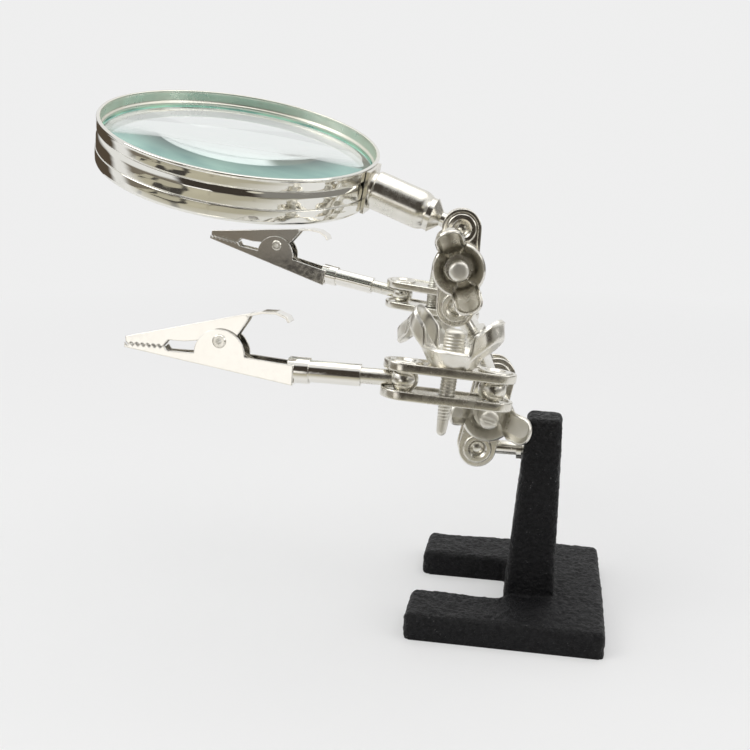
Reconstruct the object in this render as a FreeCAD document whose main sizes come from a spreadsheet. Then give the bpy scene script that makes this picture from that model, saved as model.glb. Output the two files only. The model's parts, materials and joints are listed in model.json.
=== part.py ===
"""Helping hands magnifier: cast base, jointed arms, two spring clips and a lens.

Millimetres.  +Z is up, the clips and the lens reach towards -X, and the crossbar lies
along Y.  The origin is the middle of the base's underside.
"""
import FreeCAD, Part
import math
import os
import re
import Sketcher
from FreeCAD import Placement, Rotation, Vector

doc = FreeCAD.newDocument("HelpingHands")

# ---------------------------------------------------------------------------
# Driving dimensions
# ---------------------------------------------------------------------------

SIZES = {
    # cast base and its post
    "base_length": 48.2,
    "base_width": 52.0,
    "base_height": 6.6,
    "arm_width": 15.2,
    "slot_depth": 23.3,
    "base_round": 1.8,
    "post_foot_length": 12.4,
    "post_foot_width": 20.6,
    "post_waist_height": 43.0,
    "post_waist_width": 15.6,
    "post_height": 51.6,
    "post_top_width": 8.6,
    "post_left_lean": 3.2,
    "post_right_lean": 0.4,
    "post_round": 1.9,
    # ball joints
    "ball_radius": 3.0,
    "rod_radius": 1.75,
    "running_clearance": 0.05,
    "stud_reach": 11.8,
    "stud_height": 42.3,
    "stud_embed": 6.5,
    "collar_radius": 2.65,
    "collar_length": 1.3,
    "collar_gap": 0.3,
    # clamps: two plates squeezed on two balls by a wing screw
    "ball_spacing": 19.0,
    "plate_width": 9.4,
    "plate_gap": 4.9,
    "plate_thickness": 1.2,
    "plate_edge": 0.3,
    "seat_hole": 1.8,
    "seat_bevel": 0.55,
    "boss_radius": 3.6,
    "boss_height": 0.5,
    "screw_radius": 1.75,
    "screw_slack": 0.2,
    "screw_above": 8.1,
    "screw_below": 7.6,
    "screw_tail_root": 1.6,
    "screw_tail_end": 1.05,
    "screw_boss": 2.4,
    "screw_boss_round": 0.6,
    # stamped wing head
    "cup_foot_radius": 3.4,
    "cup_radius": 6.0,
    "cup_height": 3.8,
    "wing_sheet": 0.8,
    "wing_start": 3.6,
    "wing_length": 12.2,
    "wing_root_width": 7.0,
    "wing_tip_width": 5.4,
    "wing_rise_angle": 48.0,
    "wing_depth": 2.1,
    "wing_corner": 1.8,
    # hub: a crossbar threaded on a short upright
    "upright_half": 10.3,
    "crossbar_half": 38.5,
    "crossbar_radius": 2.2,
    "hub_boss_radius": 3.9,
    "hub_boss_height": 5.0,
    # spring clips
    "rod_end": 16.0,
    "sleeve_start": 9.1,
    "sleeve_shown": 14.2,
    "sleeve_hidden": 0.9,
    "sleeve_radius": 2.4,
    "clip_length": 37.4,
    "clip_sheet": 0.5,
    "crimp_sheet": 0.38,
    "crimp_overhang": 3.2,
    "crimp_length": 4.6,
    "crimp_seam": 1.4,
    "clip_tail_width": 6.0,
    "clip_tip_width": 3.2,
    "jaw_slack": 0.12,
    "rivet_from_tip": 21.2,
    "rivet_height": 5.2,
    "rivet_radius": 0.9,
    "rivet_bore": 0.6,
    "rivet_head": 1.5,
    "rivet_head_height": 0.4,
    "ear_radius": 5.6,
    "ear_drop": 3.0,
    "upper_ear_radius": 2.8,
    "mouth_height": 3.3,
    "mouth_gap": 0.16,
    "lower_lip": 2.2,
    "upper_lip": 4.5,
    "heel_height": 11.6,
    "heel_from_tip": 27.6,
    "tab_length": 8.6,
    "tab_width": 4.2,
    "tooth_count": 7,
    "tooth_pitch": 1.25,
    "tooth_height": 0.7,
    "notch_length": 4.6,
    "notch_height": 1.05,
    "spring_wire": 0.28,
    "spring_radius": 1.35,
    "spring_turns": 2,
    "spring_pitch": 0.6,
    "lower_leg": 10.0,
    "lower_leg_angle": 211.0,
    "upper_leg": 7.0,
    "upper_leg_angle": 146.0,
    # lens, its frame and its handle
    "lens_standoff": 25.3,
    "lens_cant": 8.6,
    "glass_play": 0.3,
    "glass_edge": 2.2,
    "glass_crown": 2.6,
    "band_radius": 35.0,
    "band_sheet": 0.7,
    "band_height": 7.4,
    "groove_top": 3.2,
    "groove_width": 0.9,
    "groove_depth": 0.5,
    "ring_height": 3.7,
    "ring_proud": 0.15,
    "ring_wall": 0.95,
    "glass_slack": 0.18,
    "seat_slack": 0.03,
    "saddle_width": 9.0,
    "saddle_sheet": 0.9,
    "saddle_stub": 4.07,
    "stub_length": 5.0,
    "handle_radius": 4.8,
    "handle_wall": 0.7,
    "handle_length": 14.5,
    "handle_gap": 1.6,
    "handle_round": 0.25,
    "stem_cone": 2.2,
    "stem_plug": 4.0,
}

# Directions of the links as set down: azimuth from +X towards +Y, then elevation, degrees.
ANGLES = {
    "base_clamp": (24.8, 77.0),
    "upright": (194.6, 58.1),
    "crossbar": (99.8, 3.0),
    "front_clamp": (195.0, 7.2),
    "back_clamp": (166.1, 4.1),
    "lens_clamp": (58.8, 86.3),
    "front_clip": (182.3, 1.7),
    "back_clip": (176.4, 10.7),
    "handle": (176.4, 21.1),
}
# How far each wing screw is turned from lying along its clamp.
WING_TURNS = {
    "base_clamp": 86.0,
    "front_clamp": -36.0,
    "back_clamp": 15.0,
    "lens_clamp": 21.0,
}

sheet = doc.addObject("Spreadsheet::Sheet", "Sizes")


def store(row, alias, value):
    """Write one named value into the sheet."""
    sheet.set(f"A{row}", alias)
    sheet.set(f"B{row}", repr(float(value)))
    sheet.setAlias(f"B{row}", alias)


cells = dict(SIZES)
for link, (azimuth, elevation) in ANGLES.items():
    cells[f"{link}_azimuth"] = azimuth
    cells[f"{link}_elevation"] = elevation
for clamp, turn in WING_TURNS.items():
    cells[f"{clamp}_wing_turn"] = turn
for row, (alias, value) in enumerate(cells.items(), start=1):
    store(row, alias, value)
reckoner = doc.addObject("Spreadsheet::Sheet", "Reckoner")
doc.recompute()


def size(alias):
    """Value of a cell as a plain number."""
    return float(sheet.get(alias))


def cell(expression):
    """Turn plain aliases such as 'base_length / 2' into references to the sheet."""
    return re.sub(r"[a-z_]+", lambda word: "Sizes." * (word[0] in cells) + word[0], expression)


def bind(thing, **expressions):
    """Bind properties to the sheet; a double underscore in a name stands for a dot."""
    for name, expression in expressions.items():
        thing.setExpression(name.replace("__", "."), cell(expression))


# ---------------------------------------------------------------------------
# Sketch and primitive helpers
# ---------------------------------------------------------------------------

PARTS = []


def finish(thing, label, placement=None):
    """Name a sub-part, set it in its place and list it for export."""
    thing.Label = label
    if placement is not None:
        thing.Placement = placement
    PARTS.append(thing)
    return thing


def origin_part(body, role):
    """The body's own origin plane or axis with this role."""
    for feature in body.Origin.OriginFeatures:
        if feature.Role == role:
            return feature
    raise ValueError(role)


def new_sketch(body, name, role="XY_Plane", height=None):
    """An empty sketch on one of the body's origin planes, lifted by an expression."""
    sketch = body.newObject("Sketcher::SketchObject", name)
    sketch.AttachmentSupport = (origin_part(body, role), [""])
    sketch.MapMode = "FlatFace"
    if height is not None:
        bind(sketch, AttachmentOffset__Base__z=height)
    return sketch


def set_point(sketch, edge, end, x, y):
    """Hold one end of an edge at two expressions."""
    for kind, value in (("DistanceX", x), ("DistanceY", y)):
        start = worked_out(value)
        number = sketch.addConstraint(Sketcher.Constraint(kind, edge, end, start))
        bind(sketch, **{f"Constraints[{number}]": value})


def worked_out(expression):
    """Value of an expression on the aliases, worked out in a cell of the second sheet."""
    reckoner.set("A1", "=" + cell(expression))
    reckoner.recompute()
    return float(reckoner.get("A1"))


def polygon(sketch, points):
    """Closed outline whose corners are pairs of expressions."""
    corners = [Vector(worked_out(x), worked_out(y), 0) for x, y in points]
    count = len(corners)
    for index in range(count):
        start, end = corners[index], corners[(index + 1) % count]
        sketch.addGeometry(Part.LineSegment(start, end), False)
    for index in range(count):
        following = (index + 1) % count
        sketch.addConstraint(Sketcher.Constraint("Coincident", index, 2, following, 1))
    for index, (x, y) in enumerate(points):
        set_point(sketch, index, 1, x, y)
    return sketch


def rounded_box(sketch, left, right, half, radius):
    """Oblong outline with round corners, even about the sketch's X axis."""
    places = [
        (f"{left} + {radius}", f"0 - {half}"),
        (f"{right} - {radius}", f"0 - {half}"),
        (right, f"{radius} - {half}"),
        (right, f"{half} - {radius}"),
        (f"{right} - {radius}", half),
        (f"{left} + {radius}", half),
        (left, f"{half} - {radius}"),
        (left, f"{radius} - {half}"),
    ]
    corners = [Vector(worked_out(x), worked_out(y), 0) for x, y in places]
    bend = worked_out(radius)
    centres = [corners[1] + Vector(0, bend, 0), corners[3] - Vector(bend, 0, 0),
               corners[5] - Vector(0, bend, 0), corners[7] + Vector(bend, 0, 0)]
    for side, centre in enumerate(centres):
        start, end, after = (corners[(2 * side + step) % 8] for step in range(3))
        middle = centre + (end - centre + after - centre).normalize() * bend
        sketch.addGeometry(Part.LineSegment(start, end), False)
        sketch.addGeometry(Part.Arc(end, middle, after), False)
    for edge in range(8):
        following = (edge + 1) % 8
        sketch.addConstraint(Sketcher.Constraint("Coincident", edge, 2, following, 1))
    for side in range(4):
        set_point(sketch, 2 * side, 1, *places[2 * side])
        set_point(sketch, 2 * side, 2, *places[2 * side + 1])
        number = sketch.addConstraint(Sketcher.Constraint("Radius", 2 * side + 1, bend))
        bind(sketch, **{f"Constraints[{number}]": radius})
    return sketch


def circle(sketch, radius, x="0", y="0"):
    """Circle whose radius and centre are expressions."""
    centre = Vector(worked_out(x), worked_out(y), 0)
    edge = sketch.addGeometry(Part.Circle(centre, Vector(0, 0, 1), worked_out(radius)), False)
    number = sketch.addConstraint(Sketcher.Constraint("Radius", edge, worked_out(radius)))
    bind(sketch, **{f"Constraints[{number}]": radius})
    set_point(sketch, edge, 3, x, y)
    return sketch


def revolved(body, name, points):
    """Turn an outline of (radius, height) corners about the body's Z axis."""
    sketch = polygon(new_sketch(body, name + "Outline", "XZ_Plane"), points)
    feature = body.newObject("PartDesign::Revolution", name)
    feature.Profile = sketch
    feature.ReferenceAxis = (origin_part(body, "Z_Axis"), [""])
    feature.Angle = 360
    return feature


def grooved(body, name, points):
    """Cut an outline of (radius, height) corners, turned about the body's Z axis."""
    sketch = polygon(new_sketch(body, name + "Outline", "XZ_Plane"), points)
    feature = body.newObject("PartDesign::Groove", name)
    feature.Profile = sketch
    feature.ReferenceAxis = (origin_part(body, "Z_Axis"), [""])
    feature.Angle = 360
    return feature


def padded(body, name, sketch, length):
    """Raise a sketch along its normal."""
    feature = body.newObject("PartDesign::Pad", name)
    feature.Profile = sketch
    bind(feature, Length=length)
    return feature


def pocketed(body, name, sketch, depth):
    """Sink a sketch against its normal."""
    feature = body.newObject("PartDesign::Pocket", name)
    feature.Profile = sketch
    bind(feature, Length=depth)
    return feature


def dressed(body, kind, name, amount, chosen):
    """Fillet or chamfer the edges of the body's tip that the test 'chosen' picks."""
    doc.recompute()
    base = body.Tip
    names = [f"Edge{n}" for n, edge in enumerate(base.Shape.Edges, start=1) if chosen(edge)]
    feature = body.newObject(f"PartDesign::{kind}", name)
    feature.Base = (base, names)
    bind(feature, **{"Radius" if kind == "Fillet" else "Size": amount})
    return feature


def near(a, b):
    """Equal for the purpose of picking edges."""
    return abs(a - b) < 1e-4


TURN_TO_X = Rotation(Vector(0, 1, 0), 90)
TURN_TO_Y = Rotation(Vector(1, 0, 0), -90)


def cylinder(name, radius, start, length, axis="Z"):
    """Part::Cylinder along an axis of its sub-part, from one place for some length."""
    thing = doc.addObject("Part::Cylinder", name)
    turn = {"X": TURN_TO_X, "Y": TURN_TO_Y, "Z": Rotation()}[axis]
    thing.Placement = Placement(Vector(), turn)
    bind(thing, Radius=radius, Height=length)
    thing.setExpression(f"Placement.Base.{axis.lower()}", cell(start))
    return thing


def cone(name, first, second, start, length, axis="Z"):
    """Part::Cone along an axis, with its radius at the start and at the end."""
    thing = doc.addObject("Part::Cone", name)
    turn = {"X": TURN_TO_X, "Y": TURN_TO_Y, "Z": Rotation()}[axis]
    thing.Placement = Placement(Vector(), turn)
    bind(thing, Radius1=first, Radius2=second, Height=length)
    thing.setExpression(f"Placement.Base.{axis.lower()}", cell(start))
    return thing


def sphere(name, radius, place="0", axis="Z"):
    """Part::Sphere with its centre at one place along an axis."""
    thing = doc.addObject("Part::Sphere", name)
    bind(thing, Radius=radius)
    thing.setExpression(f"Placement.Base.{axis.lower()}", cell(place))
    return thing


def fused(name, pieces):
    """One solid made of several."""
    thing = doc.addObject("Part::MultiFuse", name)
    thing.Shapes = pieces
    thing.Refine = True
    return thing


def cut(name, base, tool):
    """One solid less another."""
    thing = doc.addObject("Part::Cut", name)
    thing.Base = base
    thing.Tool = tool
    return thing


# ---------------------------------------------------------------------------
# Where the joints lie
# ---------------------------------------------------------------------------


def along(link):
    """Unit vector of a link, from its azimuth and elevation in the sheet."""
    azimuth = math.radians(size(link + "_azimuth"))
    elevation = math.radians(size(link + "_elevation"))
    level = math.cos(elevation)
    return Vector(level * math.cos(azimuth), level * math.sin(azimuth), math.sin(elevation))


def facing(origin, x_axis, z_hint):
    """Placement with X exactly along one direction and Z as near as it can be to another."""
    z_axis = z_hint - x_axis * x_axis.dot(z_hint)
    y_axis = z_axis.cross(x_axis)
    return Placement(origin, Rotation(x_axis, y_axis, z_axis, "XZY"))


post_left = -size("base_length") / 2 + size("slot_depth")
stud_share = (size("stud_height") - size("base_height")) / (size("post_height") - size("base_height"))
post_side = post_left + size("post_left_lean") * stud_share

base_ball = Vector(post_side - size("stud_reach"), 0, size("stud_height"))
hub_low = base_ball + along("base_clamp") * size("ball_spacing")
hub_centre = hub_low + along("upright") * size("upright_half")
hub_high = hub_low + along("upright") * 2 * size("upright_half")
bar_near = hub_centre - along("crossbar") * size("crossbar_half")
bar_far = hub_centre + along("crossbar") * size("crossbar_half")
front_ball = bar_near + along("front_clamp") * size("ball_spacing")
back_ball = bar_far + along("back_clamp") * size("ball_spacing")
lens_ball = hub_high + along("lens_clamp") * size("ball_spacing")

# Each clamp: its inner ball, the link it lies along and the side its wing screw is on.
CLAMPS = {
    "base_clamp": (base_ball, "base_clamp", Vector(0.14, -0.985, 0.06)),
    "front_clamp": (bar_near, "front_clamp", Vector(0.0, 0.08, 1.0)),
    "back_clamp": (bar_far, "back_clamp", Vector(0.0, 0.0, -1.0)),
    "lens_clamp": (hub_high, "lens_clamp", Vector(0.1, -0.99, 0.06)),
}
CLIPS = {
    "front_clip": (front_ball, "front_clip", Vector(0.0, 0.08, 1.0)),
    "back_clip": (back_ball, "back_clip", Vector(0.0, 0.0, 1.0)),
}
LENS_UP = Vector(0.196, -0.206, 0.959)


def clamp_frame(name):
    """Frame midway between a clamp's two balls: X along the clamp, Z towards its wings."""
    ball, link, side = CLAMPS[name]
    return facing(ball + along(link) * size("ball_spacing") / 2, along(link), side)


# ---------------------------------------------------------------------------
# Cast base
# ---------------------------------------------------------------------------


def post_section(body, label, height, width):
    """Rounded outline of the post at a height; its two ends lean evenly on the way up."""
    share = f"( {height} - base_height ) / ( post_height - base_height )"
    left = f"slot_depth - base_length / 2 + post_left_lean * {share}"
    right = f"slot_depth - base_length / 2 + post_foot_length - post_right_lean * {share}"
    sketch = new_sketch(body, f"Post{label}Outline", "XY_Plane", height)
    return rounded_box(sketch, left, right, f"{width} / 2", "post_round")


def make_base():
    """U-shaped foot with its post cast on the bridge of the U."""
    body = doc.addObject("PartDesign::Body", "BaseCasting")
    left, right = "0 - base_length / 2", "base_length / 2"
    front, back = "0 - base_width / 2", "base_width / 2"
    slot_end = "0 - base_length / 2 + slot_depth"
    foot = polygon(new_sketch(body, "FootOutline"), [
        (left, front),
        (right, front),
        (right, back),
        (left, back),
        (left, "base_width / 2 - arm_width"),
        (slot_end, "base_width / 2 - arm_width"),
        (slot_end, "arm_width - base_width / 2"),
        (left, "arm_width - base_width / 2"),
    ])
    padded(body, "Foot", foot, "base_height")
    dressed(body, "Fillet", "FootRound", "base_round",
            lambda edge: edge.CenterOfMass.z > size("base_height") / 4)
    post = body.newObject("PartDesign::AdditiveLoft", "Post")
    post.Profile = post_section(body, "Foot", "base_height / 2", "post_foot_width")
    post.Sections = [
        post_section(body, "Waist", "post_waist_height", "post_waist_width"),
        post_section(body, "Top", "post_height", "post_top_width"),
    ]
    post.Ruled = True
    dressed(body, "Fillet", "PostRound", "post_round * 0.8",
            lambda edge: edge.BoundBox.ZMin > size("post_height") - 1e-4)
    bore = body.newObject("PartDesign::SubtractiveCylinder", "StudBore")
    bore.AttachmentSupport = (origin_part(body, "YZ_Plane"), [""])
    bore.MapMode = "FlatFace"
    bind(bore, Radius="rod_radius + running_clearance", Height="stud_embed + 3",
         AttachmentOffset__Base__y="stud_height",
         AttachmentOffset__Base__z=f"{slot_end} + post_left_lean / 2 - 1")
    return finish(body, "base_casting")


def make_stud():
    """Round stud, pressed into the post, with the ball that carries everything."""
    pieces = [
        sphere("StudBall", "ball_radius"),
        cylinder("StudShank", "rod_radius", "0", "stud_reach + stud_embed", "X"),
        cylinder("StudCollar", "collar_radius", "stud_reach - collar_gap - collar_length",
                 "collar_length", "X"),
    ]
    return finish(fused("BaseStud", pieces), "base_ball_stud", Placement(base_ball, Rotation()))


# ---------------------------------------------------------------------------
# Clamps
# ---------------------------------------------------------------------------

INNER_FACE = "plate_gap / 2"
OUTER_FACE = "( plate_gap / 2 + plate_thickness )"


def make_plate(name, title, hole):
    """Oblong pressed plate: a raised ball seat at each end and a screw hole between."""
    body = doc.addObject("PartDesign::Body", title)
    half, side = "ball_spacing / 2", "plate_width / 2"
    web = polygon(new_sketch(body, title + "WebOutline", "XY_Plane", INNER_FACE), [
        (f"0 - {half}", f"0 - {side}"),
        (half, f"0 - {side}"),
        (half, side),
        (f"0 - {half}", side),
    ])
    padded(body, title + "Web", web, "plate_thickness")
    ends = new_sketch(body, title + "EndOutline", "XY_Plane", INNER_FACE)
    circle(ends, side, half)
    circle(ends, side, f"0 - {half}")
    padded(body, title + "Ends", ends, "plate_thickness")
    outline = size("plate_width") / 2 - 1e-3
    dressed(body, "Fillet", title + "Edge", "plate_edge",
            lambda edge: abs(edge.CenterOfMass.y) > outline
            or abs(edge.CenterOfMass.x) > size("ball_spacing") / 2 + 0.5)
    bosses = new_sketch(body, title + "BossOutline", "XY_Plane", OUTER_FACE)
    circle(bosses, "boss_radius", half)
    circle(bosses, "boss_radius", f"0 - {half}")
    padded(body, title + "Bosses", bosses, "boss_height")
    crest = size("plate_gap") / 2 + size("plate_thickness") + size("boss_height")
    dressed(body, "Fillet", title + "BossRound", "boss_height * 0.9",
            lambda edge: near(edge.CenterOfMass.z, crest))
    holes = new_sketch(body, title + "HoleOutline", "XY_Plane", f"{OUTER_FACE} + boss_height")
    circle(holes, "seat_hole", half)
    circle(holes, "seat_hole", f"0 - {half}")
    circle(holes, hole)
    pocketed(body, title + "Holes", holes, "plate_thickness + boss_height + 1")
    dressed(body, "Chamfer", title + "SeatBevel", "seat_bevel",
            lambda edge: near(edge.CenterOfMass.z, crest)
            and near(edge.Curve.Radius, size("seat_hole")))
    for number, place in enumerate((half, f"0 - {half}")):
        seat = body.newObject("PartDesign::SubtractiveSphere", f"{title}Seat{number}")
        seat.AttachmentSupport = (origin_part(body, "XY_Plane"), [""])
        seat.MapMode = "FlatFace"
        bind(seat, Radius="ball_radius + running_clearance", AttachmentOffset__Base__x=place)
    frame = clamp_frame(name)
    if title.endswith("Tapped"):
        frame = frame.multiply(Placement(Vector(), Rotation(Vector(1, 0, 0), 180)))
    kind = "tapped_plate" if title.endswith("Tapped") else "plain_plate"
    return finish(body, f"{name}_{kind}", frame)


def make_wing_head(name, title):
    """Stamped head of a wing screw: a cup with two trays that rise from its sides."""
    body = doc.addObject("PartDesign::Body", title)
    revolved(body, title + "Cup", [
        ("0", OUTER_FACE),
        ("cup_foot_radius", OUTER_FACE),
        ("cup_radius - 0.7", f"{OUTER_FACE} + cup_height * 0.4"),
        ("cup_radius", f"{OUTER_FACE} + cup_height * 0.75"),
        ("cup_radius", f"{OUTER_FACE} + cup_height"),
        ("0", f"{OUTER_FACE} + cup_height"),
    ])
    tray = wing_sketch(body, title + "Tray", "0", [
        ("0", "wing_root_width / 2"),
        ("wing_length", "wing_tip_width / 2"),
    ])
    outer = padded(body, title + "Wing", tray, "wing_depth")
    hollow = wing_sketch(body, title + "Hollow", "wing_depth", [
        ("0", "wing_root_width / 2 - wing_sheet"),
        ("wing_length - wing_sheet", "wing_tip_width / 2 - wing_sheet"),
    ])
    inner = pocketed(body, title + "Dish", hollow, "wing_depth - wing_sheet")
    doc.recompute()
    pair = body.newObject("PartDesign::Mirrored", title + "Pair")
    pair.Originals = [outer, inner]
    pair.MirrorPlane = (origin_part(body, "YZ_Plane"), [""])
    body.Tip = pair
    dressed(body, "Fillet", title + "Corners", "wing_corner", wing_corner)
    grooved(body, title + "Bowl", [
        ("0", f"{OUTER_FACE} + wing_sheet"),
        ("cup_foot_radius - wing_sheet * 0.4", f"{OUTER_FACE} + wing_sheet"),
        ("cup_radius - 0.7 - wing_sheet", f"{OUTER_FACE} + cup_height * 0.45"),
        ("cup_radius - wing_sheet", f"{OUTER_FACE} + cup_height * 0.8"),
        ("cup_radius - wing_sheet", f"{OUTER_FACE} + cup_height * 4"),
        ("0", f"{OUTER_FACE} + cup_height * 4"),
    ])
    bore = body.newObject("PartDesign::SubtractiveCylinder", title + "Bore")
    bore.AttachmentSupport = (origin_part(body, "XY_Plane"), [""])
    bore.MapMode = "FlatFace"
    bind(bore, Radius="screw_radius", Height="plate_gap + cup_height * 4")
    turn = Rotation(Vector(0, 0, 1), size(f"{name}_wing_turn"))
    return finish(body, f"{name}_wing_head", clamp_frame(name).multiply(Placement(Vector(), turn)))


def wing_sketch(body, name, lift, sides):
    """Mirror-even outline on the plane that a wing rises along, at a height above it."""
    sketch = new_sketch(body, name)
    rise = size("wing_rise_angle")
    sketch.AttachmentOffset = Placement(Vector(), Rotation(Vector(0, 1, 0), -rise))
    bind(sketch,
         AttachmentOffset__Base__x=f"wing_start - {lift} * sin( wing_rise_angle )",
         AttachmentOffset__Base__z=f"{OUTER_FACE} + 0.5 + {lift} * cos( wing_rise_angle )")
    low = [(place, f"0 - {half}") for place, half in sides]
    high = [(place, half) for place, half in reversed(sides)]
    return polygon(sketch, low + high)


def wing_corner(edge):
    """The two outer corners of each wing tip, through the thickness of the tray."""
    straight = near(edge.Length, size("wing_depth"))
    return straight and abs(edge.CenterOfMass.x) > size("cup_radius") + 2


def make_screw(name, title):
    """Clamping screw: staked in its wing head, threaded into the tapped plate."""
    tail = f"0 - {OUTER_FACE} - screw_below"
    seat = f"{OUTER_FACE} + wing_sheet"
    top = f"{OUTER_FACE} + screw_above"
    pieces = [
        cylinder(title + "Shank", "screw_radius", f"0 - {OUTER_FACE}",
                 f"2 * {OUTER_FACE} + wing_sheet + 0.5"),
        cone(title + "Tail", "screw_tail_end", "screw_tail_root", f"{tail} + screw_tail_end",
             "screw_below - screw_tail_end"),
        sphere(title + "TailEnd", "screw_tail_end", f"{tail} + screw_tail_end"),
        cylinder(title + "Boss", "screw_boss", seat,
                 "screw_above - wing_sheet - screw_boss_round"),
        cone(title + "Stake", "screw_boss", "screw_boss - screw_boss_round",
             f"{top} - screw_boss_round", "screw_boss_round"),
    ]
    return finish(fused(title, pieces), f"{name}_screw", clamp_frame(name))


def make_clamps():
    """Two plates and a wing screw for each of the four clamps."""
    for name in CLAMPS:
        title = "".join(word.capitalize() for word in name.split("_"))
        make_plate(name, title + "Plain", "screw_radius + screw_slack")
        make_plate(name, title + "Tapped", "screw_radius + running_clearance")
        make_wing_head(name, title + "Wing")
        make_screw(name, title + "Screw")


# ---------------------------------------------------------------------------
# Hub
# ---------------------------------------------------------------------------


def make_hub():
    """Upright with a ball at each end, and the crossbar that turns on it."""
    upright = fused("Upright", [
        sphere("UprightLowBall", "ball_radius", "0 - upright_half"),
        sphere("UprightHighBall", "ball_radius", "upright_half"),
        cylinder("UprightRod", "rod_radius", "0 - upright_half", "2 * upright_half"),
    ])
    frame = facing(hub_centre, along("upright"), along("crossbar"))
    upright_frame = frame.multiply(Placement(Vector(), TURN_TO_X))
    finish(upright, "hub_upright", upright_frame)

    bar = fused("BarSolid", [
        sphere("BarNearBall", "ball_radius", "0 - crossbar_half"),
        sphere("BarFarBall", "ball_radius", "crossbar_half"),
        cylinder("BarEnds", "rod_radius", "0 - crossbar_half", "2 * crossbar_half"),
        cylinder("BarMiddle", "crossbar_radius", "9 - crossbar_half", "2 * crossbar_half - 18"),
        cylinder("BarBoss", "hub_boss_radius", "0 - hub_boss_height / 2", "hub_boss_height", "X"),
    ])
    bore = cylinder("BarBore", "rod_radius + running_clearance", "0 - hub_boss_radius * 2",
                    "hub_boss_radius * 4", "X")
    finish(cut("Crossbar", bar, bore), "crossbar", frame)


# ---------------------------------------------------------------------------
# Spring clips
# ---------------------------------------------------------------------------


def prism(points, depth, plane="XZ"):
    """Solid of an outline in XZ or XY, reaching the same depth to both sides."""
    if plane == "XZ":
        corners = [Vector(x, -depth, z) for x, z in points]
        reach = Vector(0, 2 * depth, 0)
    else:
        corners = [Vector(x, y, -depth) for x, y in points]
        reach = Vector(0, 0, 2 * depth)
    return Part.Face(Part.makePolygon(corners + corners[:1])).extrude(reach)


def cross_pin(radius, half_length, x, z):
    """Cylinder across a clip."""
    return Part.makeCylinder(radius, 2 * half_length, Vector(x, -half_length, z), Vector(0, 1, 0))


def wedge(start, end, half_start, half_end, depth):
    """Tall solid, even about the middle plane, whose width runs evenly from end to end."""
    return prism([(start, -half_start), (end, -half_end), (end, half_end), (start, half_start)],
                 depth, "XY")


def teeth(tip, height, step):
    """Corners of the saw edge behind the tip; step is the height of its teeth."""
    pitch = size("tooth_pitch")
    row = []
    for number in range(int(size("tooth_count"))):
        row.append((tip - number * pitch, height))
        row.append((tip - (number + 0.5) * pitch, height + step))
    row.append((tip - size("tooth_count") * pitch, height))
    return row


def clip_marks():
    """Places along a clip that several of its pieces share."""
    tail = size("sleeve_start") + size("sleeve_shown")
    tip = tail + size("clip_length")
    return tail, tip, tip - size("rivet_from_tip"), size("rivet_height")


def jaw_width(x, inset):
    """Half the width of a clip at one place, less an inset."""
    tail, tip, pivot_x, pivot_z = clip_marks()
    share = (x - tail) / (tip - tail)
    width = size("clip_tail_width") + (size("clip_tip_width") - size("clip_tail_width")) * share
    return width / 2 - inset


def lower_jaw_shape():
    """Lower jaw: a channel, open upwards, that wraps the sleeve and carries the ears."""
    tail, tip, pivot_x, pivot_z = clip_marks()
    thin = size("clip_sheet")
    floor = -size("sleeve_radius") - size("seat_slack") - thin
    mouth = size("mouth_height") - size("mouth_gap") / 2
    notch = tip - size("tooth_count") * size("tooth_pitch")
    outline = [(tip, size("lower_lip"))]
    outline += teeth(tip, mouth, -size("tooth_height"))
    outline += [
        (notch - 0.8, mouth - size("notch_height")),
        (notch - size("notch_length"), mouth - size("notch_height")),
        (pivot_x + size("ear_radius"), pivot_z - size("ear_drop")),
        (pivot_x - size("ear_radius"), pivot_z - size("ear_drop")),
        (tail, 1.4),
        (tail, floor),
    ]
    ear = cross_pin(size("ear_radius"), 10, pivot_x, pivot_z - size("ear_drop"))
    ear = ear.common(prism([(tail, floor), (tip, size("lower_lip")), (tip, 20), (tail, 20)], 10))
    solid = prism(outline, 10).fuse(ear)
    level_end = tail + size("sleeve_hidden") + 0.6
    web_top = [(tail - 1, floor + thin), (level_end, floor + thin),
               (tip + 1, size("lower_lip") + thin), (tip + 1, 20), (tail - 1, 20)]
    outer = wedge(tail, tip, jaw_width(tail, 0), jaw_width(tip, 0), 20)
    inner = wedge(tail - 1, tip + 1, jaw_width(tail - 1, thin), jaw_width(tip + 1, thin), 20)
    shell = solid.common(outer).cut(prism(web_top, 10).common(inner))
    start, length = Vector(tail - size("crimp_overhang"), 0, 0), size("crimp_length")
    inside = size("sleeve_radius") + size("running_clearance")
    outside = inside + size("crimp_sheet")
    crimp = Part.makeCylinder(outside, length, start, Vector(1, 0, 0))
    crimp = crimp.cut(Part.makeCylinder(inside, length, start, Vector(1, 0, 0)))
    seam = size("crimp_seam") / 2
    crimp = crimp.cut(Part.makeBox(length, 2 * seam, 10, start - Vector(0, seam, 0)))
    shell = shell.fuse(crimp)
    return shell.cut(cross_pin(size("rivet_radius"), 10, pivot_x, pivot_z)).removeSplitter()


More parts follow.
